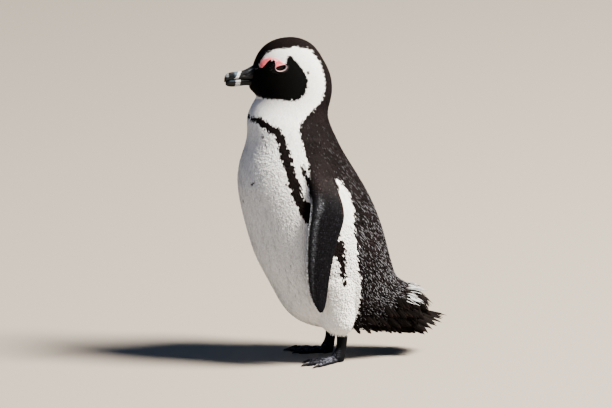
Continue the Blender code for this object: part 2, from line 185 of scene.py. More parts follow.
def spline(rows, at):
    """Uniform cubic B-spline: ((1-t)^3, 3t^3-6t^2+4, -3t^3+3t^2+3t+1, t^3) / 6 weigh four neighbouring
    rows."""
    rows = np.asarray(rows, float)
    padded = np.vstack([2 * rows[0] - rows[1], rows, 2 * rows[-1] - rows[-2]])
    at = np.clip(np.asarray(at, float), 0, len(rows) - 1)
    first = np.minimum(at.astype(int), len(rows) - 2)
    t = (at - first)[..., None]
    weights = ((1 - t) ** 3, 3 * t**3 - 6 * t**2 + 4, -3 * t**3 + 3 * t**2 + 3 * t + 1, t**3)
    return sum(w * padded[first + k] for k, w in enumerate(weights)) / 6


def sections(table, s, a, out):
    """The table's columns at s, with a and out brought to the same shape."""
    s, a, out = np.broadcast_arrays(np.asarray(s, float), a, np.asarray(out, float))
    return np.moveaxis(spline(table, s), -1, 0), a, out


def tail_edge(spread):
    """The roof-shaped edge of the tail, from -1 at its right to 1 at its left: x = h t, y = tip - b t^2 and
    z = tip - d |t|^1.5."""
    drop = TAIL_SIDE_DROP * np.abs(spread) ** 1.5
    return beside(TAIL_HALF_SPREAD * spread, TAIL_TIP_Y - TAIL_SIDE_BACK * spread**2, TAIL_TIP_Z - drop)


def body(s, a, out):
    """Upright ovals: x = (half width + out) sin a |sin a|^(f-1), and y, z go from the lowest to the highest
    point, each moved out along the line that joins them, by the share (1 - cos a) / 2. Past the tail's root
    the oval runs straight to the tail's edge at sin a."""
    (low_y, low_z, high_y, high_z, half), a, out = sections(BODY_SECTIONS, s, a, out)
    low, high = beside(low_y, low_z), beside(high_y, high_z)
    line = unit(high - low) * out[..., None]
    sine, share = np.sin(a), (1 - np.cos(a))[..., None] / 2
    x = (half + out) * np.sign(sine) * np.abs(sine) ** FULLNESS
    yz = (low - line) + (high - low + 2 * line) * share
    edge = tail_edge(sine)
    edge[..., 2] -= np.cos(a) * (0.5 + out)
    return mix(np.concatenate([x[..., None], yz], axis=-1), edge, np.clip(s - TAIL_ROOT, 0, 1.2)) * MM


def flipper(s, a, out):
    """Wing-like sections: y = lead + (trail - lead) c and x = middle + (0.625 thickness + out) sin a
    (1 - 0.45 c), with c = (1 - cos a) / 2."""
    (z, lead, trail, middle, thick), a, out = sections(FLIPPER_SECTIONS, s, a, out)
    chord = (1 - np.cos(a)) / 2
    x = middle + (thick * 0.625 + out) * np.sin(a) * (1 - 0.45 * chord)
    return beside(x, lead - out + (trail - lead + 2 * out) * chord, z) * MM


def level_ovals(table, s, a, out):
    """x = middle + (half width + out) cos a, y = middle + (half depth + out) sin a."""
    (z, middle_x, middle_y, half_x, half_y), a, out = sections(table, s, a, out)
    return beside(middle_x + (half_x + out) * np.cos(a), middle_y + (half_y + out) * np.sin(a), z) * MM


def thigh(s, a, out):
    """Level ovals of the thigh."""
    return level_ovals(THIGH_SECTIONS, s, a, out)


def steps(form, s, a):
    """Lengths in mm of one unit of s and of one unit of a, from central differences on the form."""
    e = 1e-3
    along = np.linalg.norm(form(s + e, a, 0) - form(s - e, a, 0), axis=-1) / (2 * e * MM)
    around = np.linalg.norm(form(s, a + e, 0) - form(s, a - e, 0), axis=-1) / (2 * e * MM)
    return np.maximum(along, 0.5), np.maximum(around, 0.5)


def body_chart(y, z):
    """The body's (s, a) at places (y, z) of its left side: s halves an interval till (y, z) lies on the line
    from the section's lowest to its highest point, and a is arccos(1 - 2 share) of the share along it."""
    low_s, high_s = np.zeros_like(y), np.full_like(y, 20.0)
    for _ in range(28):
        s = (low_s + high_s) / 2
        low_y, low_z, high_y, high_z, _ = np.moveaxis(spline(BODY_SECTIONS, s), -1, 0)
        chord_y, chord_z = high_y - low_y, high_z - low_z
        ahead = (y - low_y) * chord_z - (z - low_z) * chord_y > 0
        low_s, high_s = np.where(ahead, s, low_s), np.where(ahead, high_s, s)
    share = ((y - low_y) * chord_y + (z - low_z) * chord_z) / (chord_y**2 + chord_z**2)
    return s, np.arccos(1 - 2 * np.clip(share, 0.001, 0.999))


def flipper_side(y, z):
    """x in mm of the flipper's outer face at (y, z), from its chord share c, with sin a = 2 sqrt(c (1 - c)).
    Beyond its edges it falls away by 2 mm for each mm, so that it stays unbroken."""
    table = spline(FLIPPER_SECTIONS, np.linspace(0, 14, 141))[::-1]
    lead, trail, middle, thick = (np.interp(z, table[:, 0], table[:, k]) for k in (1, 2, 3, 4))
    chord = np.clip((y - lead) / (trail - lead), 0, 1)
    face = middle + 0.625 * thick * 2 * np.sqrt(chord * (1 - chord)) * (1 - 0.45 * chord)
    return face - 2 * (np.clip(lead - y, 0, None) + np.clip(y - trail, 0, None))


def shoulder_chart(s, a):
    """y and z of the shoulder's chart, 10 mm to each unit of s and a."""
    return -112 + 10 * a, 430 - 10 * s


def shoulder(s, a, out):
    """The flipper's root grown together with the body: x is the soft maximum b + (f - b) h + k h (1 - h) of
    body and flipper, with h = 1/2 + (f - b) / 2k kept in 0 to 1."""
    s, a, out = np.broadcast_arrays(np.asarray(s, float), a, np.asarray(out, float))
    y, z = shoulder_chart(s, a)
    b = body(*body_chart(y, z), 0)[..., 0] / MM
    f = flipper_side(y, z)
    soft = 13.0
    h = np.clip(0.5 + (f - b) / (2 * soft), 0, 1)
    return beside(b + (f - b) * h + soft * h * (1 - h) + out, y, z) * MM


# ---- meshes


def new_mesh(name, places, *faces):
    """A mesh from whole arrays: places in metres and arrays of faces, each with its own number of corners."""
    corners = np.concatenate([f.ravel() for f in faces]).astype(np.int32)
    sizes = np.concatenate([np.full(len(f), f.shape[1]) for f in faces])
    mesh = bpy.data.meshes.new(name)
    mesh.vertices.add(len(places))
    mesh.vertices.foreach_set("co", np.ascontiguousarray(places, np.float32).ravel())
    mesh.loops.add(len(corners))
    mesh.loops.foreach_set("vertex_index", corners)
    mesh.polygons.add(len(sizes))
    mesh.polygons.foreach_set("loop_start", np.concatenate([[0], np.cumsum(sizes)[:-1]]).astype(np.int32))
    mesh.update(calc_edges=True)
    return mesh


def grid_faces(rows, columns):
    """Quads between neighbouring rows and columns, the last column joined to the first."""
    r = np.arange(rows - 1)[:, None] * columns
    c = np.arange(columns)[None]
    n = (c + 1) % columns
    return beside(r + c, r + columns + c, r + columns + n, r + n).reshape(-1, 4)


def tube(rings, side=1):
    """A closed skin over rings (rows, columns, 3), each end closed by a fan round its middle; -1 mirrors."""
    rows, columns = rings.shape[:2]
    ends = np.stack([rings[0].mean(0), rings[-1].mean(0)])
    places = np.concatenate([rings.reshape(-1, 3), ends]) * [side, 1, 1]
    c = np.arange(columns)
    n = (c + 1) % columns
    last, middle = (rows - 1) * columns, rows * columns
    fans = np.concatenate([beside(middle, c, n), beside(middle + 1, last + n, last + c)])
    return places, [f[:, ::side] for f in (grid_faces(rows, columns), fans)]


def joined(parts):
    """Several (places, faces) as one, with the corner numbers of each moved past those before."""
    places, faces, start = [], [], 0
    for part_places, part_faces in parts:
        places.append(part_places)
        faces += [f + start for f in part_faces]
        start += len(part_places)
    return np.concatenate(places), faces


def put_attribute(mesh, name, values):
    """Stores a colour or one number for each vertex."""
    values = np.asarray(values, np.float32)
    if values.ndim == 1:
        mesh.attributes.new(name, "FLOAT", "POINT").data.foreach_set("value", values)
        return
    values = np.concatenate([values, np.ones((len(values), 1), np.float32)], axis=1)
    mesh.attributes.new(name, "FLOAT_COLOR", "POINT").data.foreach_set("color", values.ravel())


def put_map(mesh, name, at_vertices):
    """Stores a UV map whose corners take the values of their vertices."""
    corners = np.empty(len(mesh.loops), np.int32)
    mesh.loops.foreach_get("vertex_index", corners)
    layer = mesh.uv_layers.new(name=name)
    layer.data.foreach_set("uv", at_vertices.astype(np.float32)[corners].ravel())


BAKE_PATCH = 0.003


def put_feather_maps(mesh, unwrap, patch):
    """OFBake gives each feather a small patch at its root's place on the unwrap; barbs runs over each
    feather, -1 to 1 across it and 0 to 1 along it."""
    put_map(mesh, "OFBake", (unwrap[:, None] + patch * BAKE_PATCH).reshape(-1, 2))
    put_map(mesh, "barbs", np.tile(patch * [2, 1], (len(unwrap), 1)))


def placed(name, data):
    """A new object in the scene for a mesh, a lens or a lamp."""
    thing = bpy.data.objects.new(name, data)
    bpy.context.scene.collection.objects.link(thing)
    return thing


def show(mesh, material, slot, *nodes, smooth=True):
    """Puts a finished piece in the scene: it rides on the one body and stands for the nodes."""
    piece = placed(mesh.name, mesh)
    mesh.materials.clear()
    mesh.materials.append(material)
    mesh.polygons.foreach_set("use_smooth", np.full(len(mesh.polygons), smooth))
    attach(piece, "root")
    if nodes:
        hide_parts(*nodes)


def vectors_of(items, name):
    """A vector of each vertex, such as its place, as an array."""
    values = np.empty(len(items) * 3, np.float32)
    items.foreach_get(name, values)
    return values.reshape(-1, 3).astype(float)


def waves(places, size, seed):
    """Soft noise of about -1 to 1: seven sines along random directions, with wavelengths near size mm."""
    draw = np.random.default_rng(seed)
    heading = unit(draw.normal(size=(7, 3)))
    pitch = 2 * np.pi / (size * draw.uniform(0.6, 1.6, 7))
    phase = draw.uniform(0, 2 * np.pi, 7)
    return np.sin(places @ (heading * pitch[:, None]).T + phase).sum(-1) / 3.2


# ---- markings


def linear(code):
    """An sRGB hex colour as linear red, green and blue."""
    parts = np.array([int(code[k : k + 2], 16) / 255 for k in (1, 3, 5)])
    return np.where(parts <= 0.04045, parts / 12.92, ((parts + 0.055) / 1.055) ** 2.4)


def outline(*points):
    """A smooth curve near the points (y, z), with five short sides from each to the next."""
    return spline(points, np.linspace(0, len(points) - 1, (len(points) - 1) * 5 + 1))


def depth_inside(edge, y, z):
    """Distance in mm from (y, z) to a closed outline, positive inside it: the least distance to any of its
    sides, signed by whether a level ray crosses an odd number of them."""
    start = np.asarray(edge, float)
    side = np.roll(start, -1, axis=0) - start
    from_start = beside(y, z)[:, None] - start
    share = np.clip((from_start * side).sum(-1) / ((side**2).sum(-1) + 1e-9), 0, 1)
    distance = np.linalg.norm(from_start - share[..., None] * side, axis=-1).min(1)
    spans = (start[:, 1] > z[:, None]) != (start[:, 1] + side[:, 1] > z[:, None])
    rise = np.where(side[:, 1] == 0, 1, side[:, 1])
    left = from_start[..., 0] < side[:, 0] * from_start[..., 1] / rise
    odd = (spans & left).sum(1) % 2 == 1
    return np.where(odd, distance, -distance)


# Edges of the markings, seen from the side as (y, z).
CAP_EDGE = outline(
    (-160, 549), (-153, 550.5), (-149.2, 554), (-147.2, 559), (-145.8, 564), (-142.3, 570.2), (-138, 575),
    (-133.6, 580), (-128.2, 583), (-123.7, 585.4), (-119.3, 588), (-114, 588.4), (-108.8, 588.7),
    (-102.4, 588.6), (-96.6, 589.3), (-90.8, 589.6), (-85.5, 590.6), (-80.5, 591.6), (-76.5, 591.8),
    (-73.5, 589.6), (-70, 586), (-65, 587.4), (-59.7, 586.6), (-54.4, 584.7), (-49.6, 580.8), (-45.5, 576),
    (-41.8, 570.2), (-37.6, 565), (-34, 560), (-31.4, 554), (-29, 541), (-25.6, 529.5), (-24.4, 518),
    (-25.7, 508), (-29.4, 498.5), (-34.5, 486.5), (-42, 480), (-51, 473), (-74, 457), (-81, 445), (-79, 430),
    (-74, 402), (-67, 381), (-68, 362), (-62, 346), (-57, 328),
)  # fmt: skip
FLANK_EDGE = outline(
    (-52, 314), (-42, 306), (-32, 312), (-28, 328), (-27, 341), (-21, 349), (-12, 349), (-4, 341), (6, 328),
    (15, 309), (20, 288), (16, 261), (22, 236), (23, 206), (23, 186), (31, 151), (30, 126), (30, 98),
    (20, 74), (15, 49), (12, 30),
)  # fmt: skip
BACK = [*CAP_EDGE, *FLANK_EDGE, (80, 0), (300, 0), (300, 700), (-200, 700), (-200, 560)]
PINK_FRONT = [
    (-120.8, 558.6), (-119.8, 562.6), (-120.5, 566.2), (-123.6, 568.6), (-128, 569), (-132, 568.4),
    (-135, 564.6), (-138, 560.8), (-141.1, 557.4), (-144, 553.2), (-147, 554.2),
]  # fmt: skip
MASK = [
    *outline(
        (-101, 556), (-101.9, 560.7), (-100.9, 564.6), (-99.2, 568.8), (-97.2, 573.2), (-94.4, 576.6),
        (-91, 576.8), (-88.4, 574.5), (-86.5, 571.4), (-84.8, 568), (-81.7, 566.4), (-79.8, 562),
        (-76, 559.4), (-74.4, 555.5), (-70, 552.4), (-68.2, 548.2), (-66, 544), (-63, 538.2), (-60.2, 533),
        (-59.4, 526), (-61, 515.6), (-65.5, 504.2), (-73.5, 495.8), (-84, 491.4), (-96.8, 493.4),
        (-110.6, 495), (-124, 495.4), (-134.3, 496), (-141.5, 496.6), (-147, 498), (-153, 500), (-162, 503),
    ),
    (-190, 500), (-190, 557), (-153, 557), (-149, 556.5),
    *outline(*PINK_FRONT[::-1], (-119, 556), (-110, 556), (-101, 556)),
]  # fmt: skip
PINK = [
    *outline(
        (-147.5, 556), (-147.6, 559.4), (-146.6, 563.4), (-145, 567), (-142.6, 570.3), (-139.3, 572.6),
        (-134.7, 574.2), (-130.2, 575.4), (-125.7, 575), (-121, 573.8), (-116.3, 572.4), (-111.6, 570),
        (-107.8, 566.8), (-104.6, 563), (-101.5, 559),
    ),
    *outline((-101, 557), (-110, 555), (-120.5, 555.5), *PINK_FRONT, (-147.5, 556)),
]  # fmt: skip
BAND = [
    *outline(
        (-190, 463), (-166, 463), (-155, 465), (-139, 457), (-123, 447), (-114, 440), (-109, 428),
        (-104, 407), (-97, 396), (-98, 382), (-94, 365), (-86, 348), (-83, 322), (-74, 312), (-60, 306),
        (-42, 285), (-25, 262), (-12, 246),
    ),
    *outline(
        (-22, 236), (-40, 246), (-62, 258), (-78, 273), (-87, 289), (-94, 306), (-103, 328), (-107, 349),
        (-113, 374), (-119, 394), (-121, 414), (-124, 428), (-143, 443), (-155, 451), (-162, 458),
        (-168, 452), (-190, 451),
    ),
]  # fmt: skip
SHOULDER_STREAK = outline(
    (-80, 376), (-74, 362), (-65, 344), (-54, 332), (-52, 316), (-68, 312), (-68, 332), (-75, 350),
    (-81, 368), (-80, 376),
)  # fmt: skip
FLANK_STREAK = outline(
    (-30, 250), (-12, 243), (-5, 226), (-3, 212), (1, 197), (-2, 180), (2, 164), (-3, 148), (-8, 166),
    (-15, 176), (-14, 190), (-19, 205), (-30, 225), (-30, 250),
)  # fmt: skip
# Single dark feathers in the white: x, y, z, radius, strength.
SPOTS = (
    (34, -58.8, 543.4, 3.0, 1.0), (39, -146, 429, 3.0, 0.8), (45, -142, 416, 2.4, 0.7),
    (43, -168, 342, 3.4, 1.0), (14, -178, 306, 3.2, 0.9), (75, -120, 312, 3.0, 0.6),
    (-34, -171, 352, 3.2, 0.9), (-52, -150, 402, 2.6, 0.8), (-61, -146, 318, 3.0, 0.9),
    (-22, -178, 290, 2.6, 0.7), (-33, -64, 551, 1.8, 0.7), (88, -8, 138, 3.0, 0.7),
    (86, -12, 124, 2.6, 0.7), (-88, -2, 141, 3.0, 0.7), (80, -6, 104, 2.4, 0.6),
    (-84, -12, 112, 2.6, 0.7),
)  # fmt: skip

WHITE = linear("#f4f5f4")
BLACK = linear("#150f0f")
MASK_BLACK = linear("#050505")
BACK_BROWN = linear("#130e0f")
GREY_TIP = linear("#7f8289")
PINK_SKIN = linear("#e26a72")


def markings(places):
    """How much of back, of other black and of bare pink there is at places in mm: signed distances to the
    outlines in the side view, made ragged by waves of 4 and 14 mm and on the nape by teeth 7.6 mm apart,
    through a soft step. Black laps 2.2 mm over the pink, so that no white shows between them."""
    soft = 0.6
    x, y, z = np.abs(places[:, 0]), places[:, 1], places[:, 2]
    body_size = ramp(505, 470, z)
    ragged = waves(places, 4.2, 3) * (1.1 + 0.8 * body_size) + waves(places, 14, 4) * 1.4 * body_size
    pink = depth_inside(PINK, y, z)
    lap = 2.2 * ramp(-3.5, -1.2, pink) * ramp(0.9, 0.2, pink)
    under = 60 * ramp(48, 10, x) * ramp(130, 80, z)
    teeth = 4.8 * np.abs((z + 0.3 * y) / 7.6 % 1 * 2 - 1) - 2.4 + 1.2 * waves(places * [0, 1, 1.3], 2.6, 10)
    nape = ramp(-75, -55, y) * ramp(485, 497, z) * teeth
    back = depth_inside(BACK, y - under, z) + ragged + nape + lap * ramp(-141, -144, y)
    mask = depth_inside(MASK, y, z) + ragged * 0.8 + lap
    band = depth_inside(BAND, y, z) + ragged * 1.2
    streak = depth_inside(SHOULDER_STREAK, y, z) + 1.2 + ragged * 0.7
    flank = depth_inside(FLANK_STREAK, y, z) + ragged * 2.2
    black = ramp(-soft, soft, np.maximum.reduce([mask, band, streak, flank]))
    for *middle, radius, strength in SPOTS:
        away = np.linalg.norm(places - middle, axis=1)
        black = np.maximum(black, strength * ramp(radius + 0.8, radius - 0.8, away))
    return ramp(-soft, soft, back), black, ramp(-2 * soft, 2 * soft, pink)


def body_colour(places):
    """The colour of the body's feathers at places in mm: white, black and the brown-black of the back."""
    back, black, _ = markings(places)
    z = places[:, 2]
    brown = BACK_BROWN * (1 + 0.35 * waves(places, 40, 8))[:, None].clip(0.6, 1.5)
    dark, other = mix(BLACK, brown, ramp(560, 470, z)), mix(MASK_BLACK, BLACK, ramp(500, 470, z))
    return painted(WHITE, (dark, back), (other, black * (1 - back)))


def on_tail(places):
    """How far places in mm lie on the dark tail, past a line that slants down from the rump."""
    return ramp(-7, 7, places[:, 1] - 90 - 0.75 * (places[:, 2] - 65) + 3 * waves(places, 12, 9))


def pale_tips(places):
    """The share of back feathers with a pale streak: fewest on the nape, most low on the back, none on the
    tail."""
    y, z = places[:, 1], places[:, 2]
    low_back = 0.2 * bell(y, 95, 45) * bell(z, 130, 60)
    share = 0.05 + 0.1 * ramp(430, 340, z) + 0.14 * ramp(330, 230, z) + low_back
    return share * (1 - on_tail(places))


def shoulder_colour(places, on_flipper):
    """The body's colours, the back's brown-black over the flipper's root, with a painted highlight in its
    middle.
    """
    # Painted highlight, where the shoulder's curve faces the light.
    painted_sheen = bell(places[:, 1], -54, 13) * bell(places[:, 2], 345, 34)
    return mix(body_colour(places), BACK_BROWN * (1 + 0.9 * painted_sheen)[:, None], on_flipper)


# ---- materials


def new_material(name):
    """A new material, and the function that adds a node to it: the kind and operation, then its inputs in
    order, or by name or number in a dict, each a value or the socket to link, and its settings by name."""
    material = bpy.data.materials.new(name)
    material.use_nodes = True
    tree = material.node_tree

    def add(kind, *inputs, out=0, **settings):
        kind, _, operation = kind.partition(" ")
        made = tree.nodes.new("ShaderNode" + kind)
        if operation:
            made.operation = operation
        for setting, value in settings.items():
            setattr(made, setting, value)
        named = inputs[0] if inputs and isinstance(inputs[0], dict) else dict(enumerate(inputs))
        for key, value in named.items():
            if isinstance(value, bpy.types.NodeSocket):
                tree.links.new(value, made.inputs[key])
            else:
                made.inputs[key].default_value = value
        return made.outputs[out]

    return material, add


def finished(material, add, colour, roughness, height=None, relief=0.1, strength=1.0, **fixed):
    """Links colour, roughness and bump (relief in mm for a height of 1), and sets the fixed sockets."""
    shader = material.node_tree.nodes["Principled BSDF"]
    linked = {"Base Color": colour, "Roughness": roughness}
    if height is not None:
        linked["Normal"] = add("Bump", {"Height": height, "Distance": relief * MM, "Strength": strength})
    for name, value in [*linked.items(), *fixed.items()]:
        socket = shader.inputs[name.replace("_", " ")]
        if isinstance(value, bpy.types.NodeSocket):
            material.node_tree.links.new(value, socket)
        else:
            socket.default_value = value
    return material


def opaque(colour):
    """Red, green and blue with an alpha of 1."""
    return (*(float(c) for c in colour), 1.0)


def lumps(places, size, detail=2.0, rough=0.5):
    """The inputs of a noise whose lumps are about size mm across."""
    return {"Vector": places, "Scale": 1 / (size * MM), "Detail": detail, "Roughness": rough}


COLOURS = {"data_type": "RGBA", "out": 2}  # a Mix of colours: its share is input 0, its colours 6 and 7


def feather_material(name, dark_roughness, pale_roughness, barbs, relief):
    """Feather keratin: matt, from thousands of barbs that leave the shaft at a slant and lie side by side.
    Real barbs are 0.3 mm apart; here a few show on each vane, so that they can be seen at all."""
    material, add = new_material(name)
    plumage = add("Attribute", attribute_name="plumage")
    barb_map = add("UVMap", uv_map="barbs")
    along = add("Math MULTIPLY", add("SeparateXYZ", barb_map, out=1), barbs)
    slant = add("Math ADD", along, add("Math ABSOLUTE", add("SeparateXYZ", barb_map)))
    ripple = add("Math SINE", add("Math MULTIPLY", slant, 2 * math.pi))
    fray = add("TexNoise", lumps(add("TexCoord", out="Object"), 1.1))
    shade = add("Math MULTIPLY_ADD", ripple, 0.05, add("Math MULTIPLY_ADD", fray, 0.3, 0.85))
    grey = add("CombineColor", shade, shade, shade)
    colour = add("Mix", {0: 1.0, 6: plumage, 7: grey}, blend_type="MULTIPLY", **COLOURS)
    spread = pale_roughness - dark_roughness
    roughness = add("Math MULTIPLY_ADD", add("RGBToBW", plumage), spread, dark_roughness, use_clamp=True)
    height = add("Math ADD", ripple, fray)
    return finished(material, add, colour, roughness, height, relief, 0.6, Specular_IOR_Level=0.1)


def skin_material():
    """Bird skin: under the coat it takes the coat's markings; on the feet it is horny and scaled, with small
    round scales about 1.4 mm across between the broad ones, which are in the mesh."""
    material, add = new_material("bird skin, scaled on the feet")
    places = add("TexCoord", out="Object")
    scaled = add("Attribute", attribute_name="scaled", out="Fac")
    cell_inputs = {"Vector": places, "Scale": 1 / (1.4 * MM)}
    cells = add("TexVoronoi", cell_inputs, feature="DISTANCE_TO_EDGE", out="Distance")
    grooves = add("Math MULTIPLY", cells, 5.0, use_clamp=True)
    raised = add("Math SUBTRACT", add("TexNoise", lumps(places, 6, 4.0, 0.65)), 0.44)
    patches = add("Math MULTIPLY", raised, 3.2, use_clamp=True)
    # worn marks the upward faces of the feet, low down: the pale patches laid there are dust and a painted
    # highlight on top of the scales.
    worn = add("Attribute", attribute_name="worn", out="Fac")
    dust_and_highlight = add("Math MULTIPLY", patches, worn, use_clamp=True)
    plumage = add("Attribute", attribute_name="plumage")
    dusty_and_lit = add("Mix", {0: dust_and_highlight, 6: plumage, 7: opaque(linear("#8b90a2"))}, **COLOURS)
    groove_shade = add("Math MULTIPLY", add("Math SUBTRACT", 1.0, grooves), scaled, use_clamp=True)
    colour = add("Mix", {0: groove_shade, 6: dusty_and_lit, 7: opaque(linear("#131315"))}, **COLOURS)
    roughness = add("Math MULTIPLY_ADD", add("TexNoise", lumps(places, 5)), 0.3, 0.5)
    height = add("Math MULTIPLY", grooves, scaled)
    return finished(material, add, colour, roughness, height, 0.22, 0.8, Specular_IOR_Level=0.08)


def bare_face_material():
    """Bare skin of the face: pink from the blood under it, thin, finely wrinkled in cells under 1 mm, and
    slightly moist at the rim of the lids."""
    material, add = new_material("bare facial skin, pink")
    places = add("TexCoord", out="Object")
    cell_inputs = {"Vector": places, "Scale": 1 / (0.9 * MM)}
    cells = add("TexVoronoi", cell_inputs, feature="SMOOTH_F1", out="Distance")
    height = add("Math MULTIPLY_ADD", cells, -1.0, add("TexNoise", lumps(places, 0.5, 3.0)))
    flush = add("Math MULTIPLY_ADD", add("TexNoise", lumps(places, 4, 3.0)), 0.5, 0.74)
    face, grey = add("Attribute", attribute_name="face_colour"), add("CombineColor", 1.0, flush, flush)
    colour = add("Mix", {0: 0.7, 6: face, 7: grey}, blend_type="MULTIPLY", **COLOURS)
    fixed = {"Subsurface_Weight": 0.08, "Subsurface_Scale": 0.002}
    return finished(material, add, colour, 0.5, height, 0.25, 0.7, **fixed)


def horn_material(name, roughness, streak_mm):
    """Horn: keratin grown forwards in layers, so it is smooth with a low gloss, lengthwise streaks, and a
    fine scuffed bloom."""
    material, add = new_material(name)
    places = add("TexCoord", out="Object")
    stretched = add("Mapping", {"Vector": places, "Scale": (1.0, 0.12, 1.0)})
    streaks = add("TexNoise", lumps(stretched, streak_mm, 4.0, 0.6))
    scuffs = add("TexNoise", lumps(places, 2.5, 4.0, 0.7))
    pale = add("Math MULTIPLY", add("Math SUBTRACT", streaks, 0.52), 0.6, use_clamp=True)
    base = add("Attribute", attribute_name="horn")
    colour = add("Mix", {0: pale, 6: base, 7: opaque(linear("#8f9499"))}, **COLOURS)
    gloss = add("Math MULTIPLY_ADD", scuffs, 0.35, roughness - 0.15)
    height = add("Math ADD", streaks, scuffs)
    fixed = {"Coat_Weight": 0.08, "Coat_Roughness": 0.25, "Specular_IOR_Level": 0.25}
    return finished(material, add, colour, gloss, height, 0.12, 0.6, **fixed)


def eye_material():
    """A wet eye: the dark brown iris lies under a clear cornea, so the globe has a hard, clear gloss."""
    material, add = new_material("eye, wet cornea over dark brown iris")
    fibres = add("TexNoise", lumps(add("TexCoord", out="Object"), 0.6, 3.0))
    grey = add("Math MULTIPLY_ADD", fibres, 0.8, 0.6)
    iris, shade = add("Attribute", attribute_name="iris"), add("CombineColor", grey, grey, grey)
    colour = add("Mix", {0: 1.0, 6: iris, 7: shade}, blend_type="MULTIPLY", **COLOURS)
    fixed = {"Coat_Weight": 0.4, "Coat_Roughness": 0.02, "IOR": 1.38, "Specular_IOR_Level": 0.05}
    return finished(material, add, colour, 0.12, **fixed)


def backdrop_material():
    """Seamless backdrop paper: matt, pale warm grey, with a faint fibre."""
    material, add = new_material("matt backdrop paper")
    fibre = add("TexNoise", lumps(add("TexCoord", out="Object"), 3, 3.0))
    darker, lighter = opaque(linear("#8c867e")), opaque(linear("#938d85"))
    colour = add("Mix", {0: fibre, 6: darker, 7: lighter}, **COLOURS)
    return finished(material, add, colour, 0.9, fibre, 0.1, 0.3)


CONTOUR = feather_material("contour feather keratin", 0.7, 0.75, 3.0, 0.12)
FLIPPER_FEATHER = feather_material("flipper feather keratin, flat and stiff", 0.55, 0.6, 2.0, 0.08)
TAIL_FEATHER = feather_material("tail feather keratin, stiff and worn", 0.8, 0.8, 14.0, 0.2)
SKIN = skin_material()
BARE_FACE = bare_face_material()
BILL_HORN = horn_material("bill horn, grown in layers", 0.38, 2.2)
CLAW_HORN = horn_material("claw horn, worn", 0.42, 1.5)
EYE = eye_material()
BACKDROP = backdrop_material()

# ---- coat

# One vane: three rings of left edge, shaft and right edge, and a tip. Along it, across it and its height.
VANE_RINGS = (0.0, 0.45, 0.82)
VANE_WIDTHS = (0.55, 1.0, 0.8)
BETWEEN_RINGS = np.array(((0, 3, 4), (0, 4, 1), (1, 4, 5), (1, 5, 2), (2, 5, 3), (2, 3, 0)))
VANE_FACES = np.concatenate([BETWEEN_RINGS, BETWEEN_RINGS + 3, ((6, 9, 7), (7, 9, 8), (8, 9, 6), (0, 1, 2))])
VANE_ALONG = np.repeat([*VANE_RINGS, 1.0], [3, 3, 3, 1])
VANE_ACROSS = np.array([-1, 0, 1, -1, 0, 1, -1, 0, 1, 0])
VANE_TIP, NEAR_TIP = 9, 7  # the vertex at the point, and the shaft's last one before it
VANE_SIZE = VANE_TIP + 1
ROOT_SHADE = 0.8  # the first ring is darker, as if shaded by the vanes over it
FLECK_SHARES = np.array([0, 0, 0, 0, 0.2, 0, 0.15, 1, 0.15, 0])  # a pale streak along the end of the shaft


def by_section(*pairs):
    """A size that changes along the body: straight lines between (section, size) pairs."""
    at, sizes = zip(*pairs)
    return lambda s: np.interp(s, at, sizes)


COAT_DEPTH = by_section((0, 1.0), (1, 1.6), (3, 2.4), (8, 3.2), (12, 4.6), (15, 5.8), (27, 6), (28, 3))
VANE_LENGTH = by_section(
    (0, 2.4), (1.5, 3.4), (4, 5.2), (8, 6.6), (12, 10), (15, 12.5), (24, 14), (27, 19), (28, 22)
)
VANE_WIDTH = by_section((0, 1.0), (1.5, 1.25), (4, 1.7), (8, 2.1), (12, 2.8), (15, 3.3), (27, 3.8), (28, 4.2))
LAYERS, FLIPPER_LAYERS = 4.2, 3.0  # vanes that lie over each place


def crowding(layers, length, width):
    """Vanes to the square mm, from the size of a vane and how many overlap."""
    filled = 0.75  # of a vane's length times its width
    return layers / (length * width * filled)


def scattered(form, span, turn, crowd, seed):
    """Roots spread evenly over a form. The cells of its (s, a) chart are weighed by area times the crowding
    at s; the weights are summed along s and, in each row, along a; and the points (i / n, fraction of i times
    the golden ratio) are read back through both sums and shaken by up to 0.3 of their spacing. Returns s, a
    and the two lattice numbers, which are an equal-area unwrap of the form."""
    rows, columns, shake = 260, 200, 0.3
    s_edges, a_edges = np.linspace(*span, rows + 1), np.linspace(*turn, columns + 1)
    s, a = np.meshgrid((s_edges[1:] + s_edges[:-1]) / 2, (a_edges[1:] + a_edges[:-1]) / 2, indexing="ij")
    ds, da = s_edges[1] - s_edges[0], a_edges[1] - a_edges[0]
    along = form(s + ds / 2, a, 0) - form(s - ds / 2, a, 0)
    around = form(s, a + da / 2, 0) - form(s, a - da / 2, 0)
    area = np.linalg.norm(np.cross(along, around), axis=-1) / MM**2
    weight = area * crowd(s) + 1e-9
    count = int(weight.sum())
    by_row = np.concatenate([[0], np.cumsum(weight.sum(1))]) / weight.sum()
    in_row = np.cumsum(weight, axis=1) / weight.sum(1, keepdims=True)
    in_row = np.concatenate([np.zeros((rows, 1)), in_row], axis=1)
    index = np.arange(count)
    u, v = (index + 0.5) / count, (index * GOLDEN) % 1
    row = np.clip(np.searchsorted(by_row, u, side="right") - 1, 0, rows - 1)
    found_s = s_edges[row] + ds * (u - by_row[row]) / (by_row[row + 1] - by_row[row])
    flat = (in_row + 2 * np.arange(rows)[:, None]).ravel()
    cell = np.clip(np.searchsorted(flat, v + 2 * row, side="right") - 1 - row * (columns + 1), 0, columns - 1)
    low, high = in_row[row, cell], in_row[row, cell + 1]
    found_a = a_edges[cell] + da * (v - low) / np.maximum(high - low, 1e-12)
    draw = np.random.default_rng(seed)
    gap = shake / np.sqrt(crowd(found_s))
    per_s, per_a = steps(form, found_s, found_a)
    found_s = np.clip(found_s + draw.uniform(-1, 1, count) * gap / per_s, *span)
    return found_s, found_a + draw.uniform(-1, 1, count) * gap / per_a, beside(u, v)


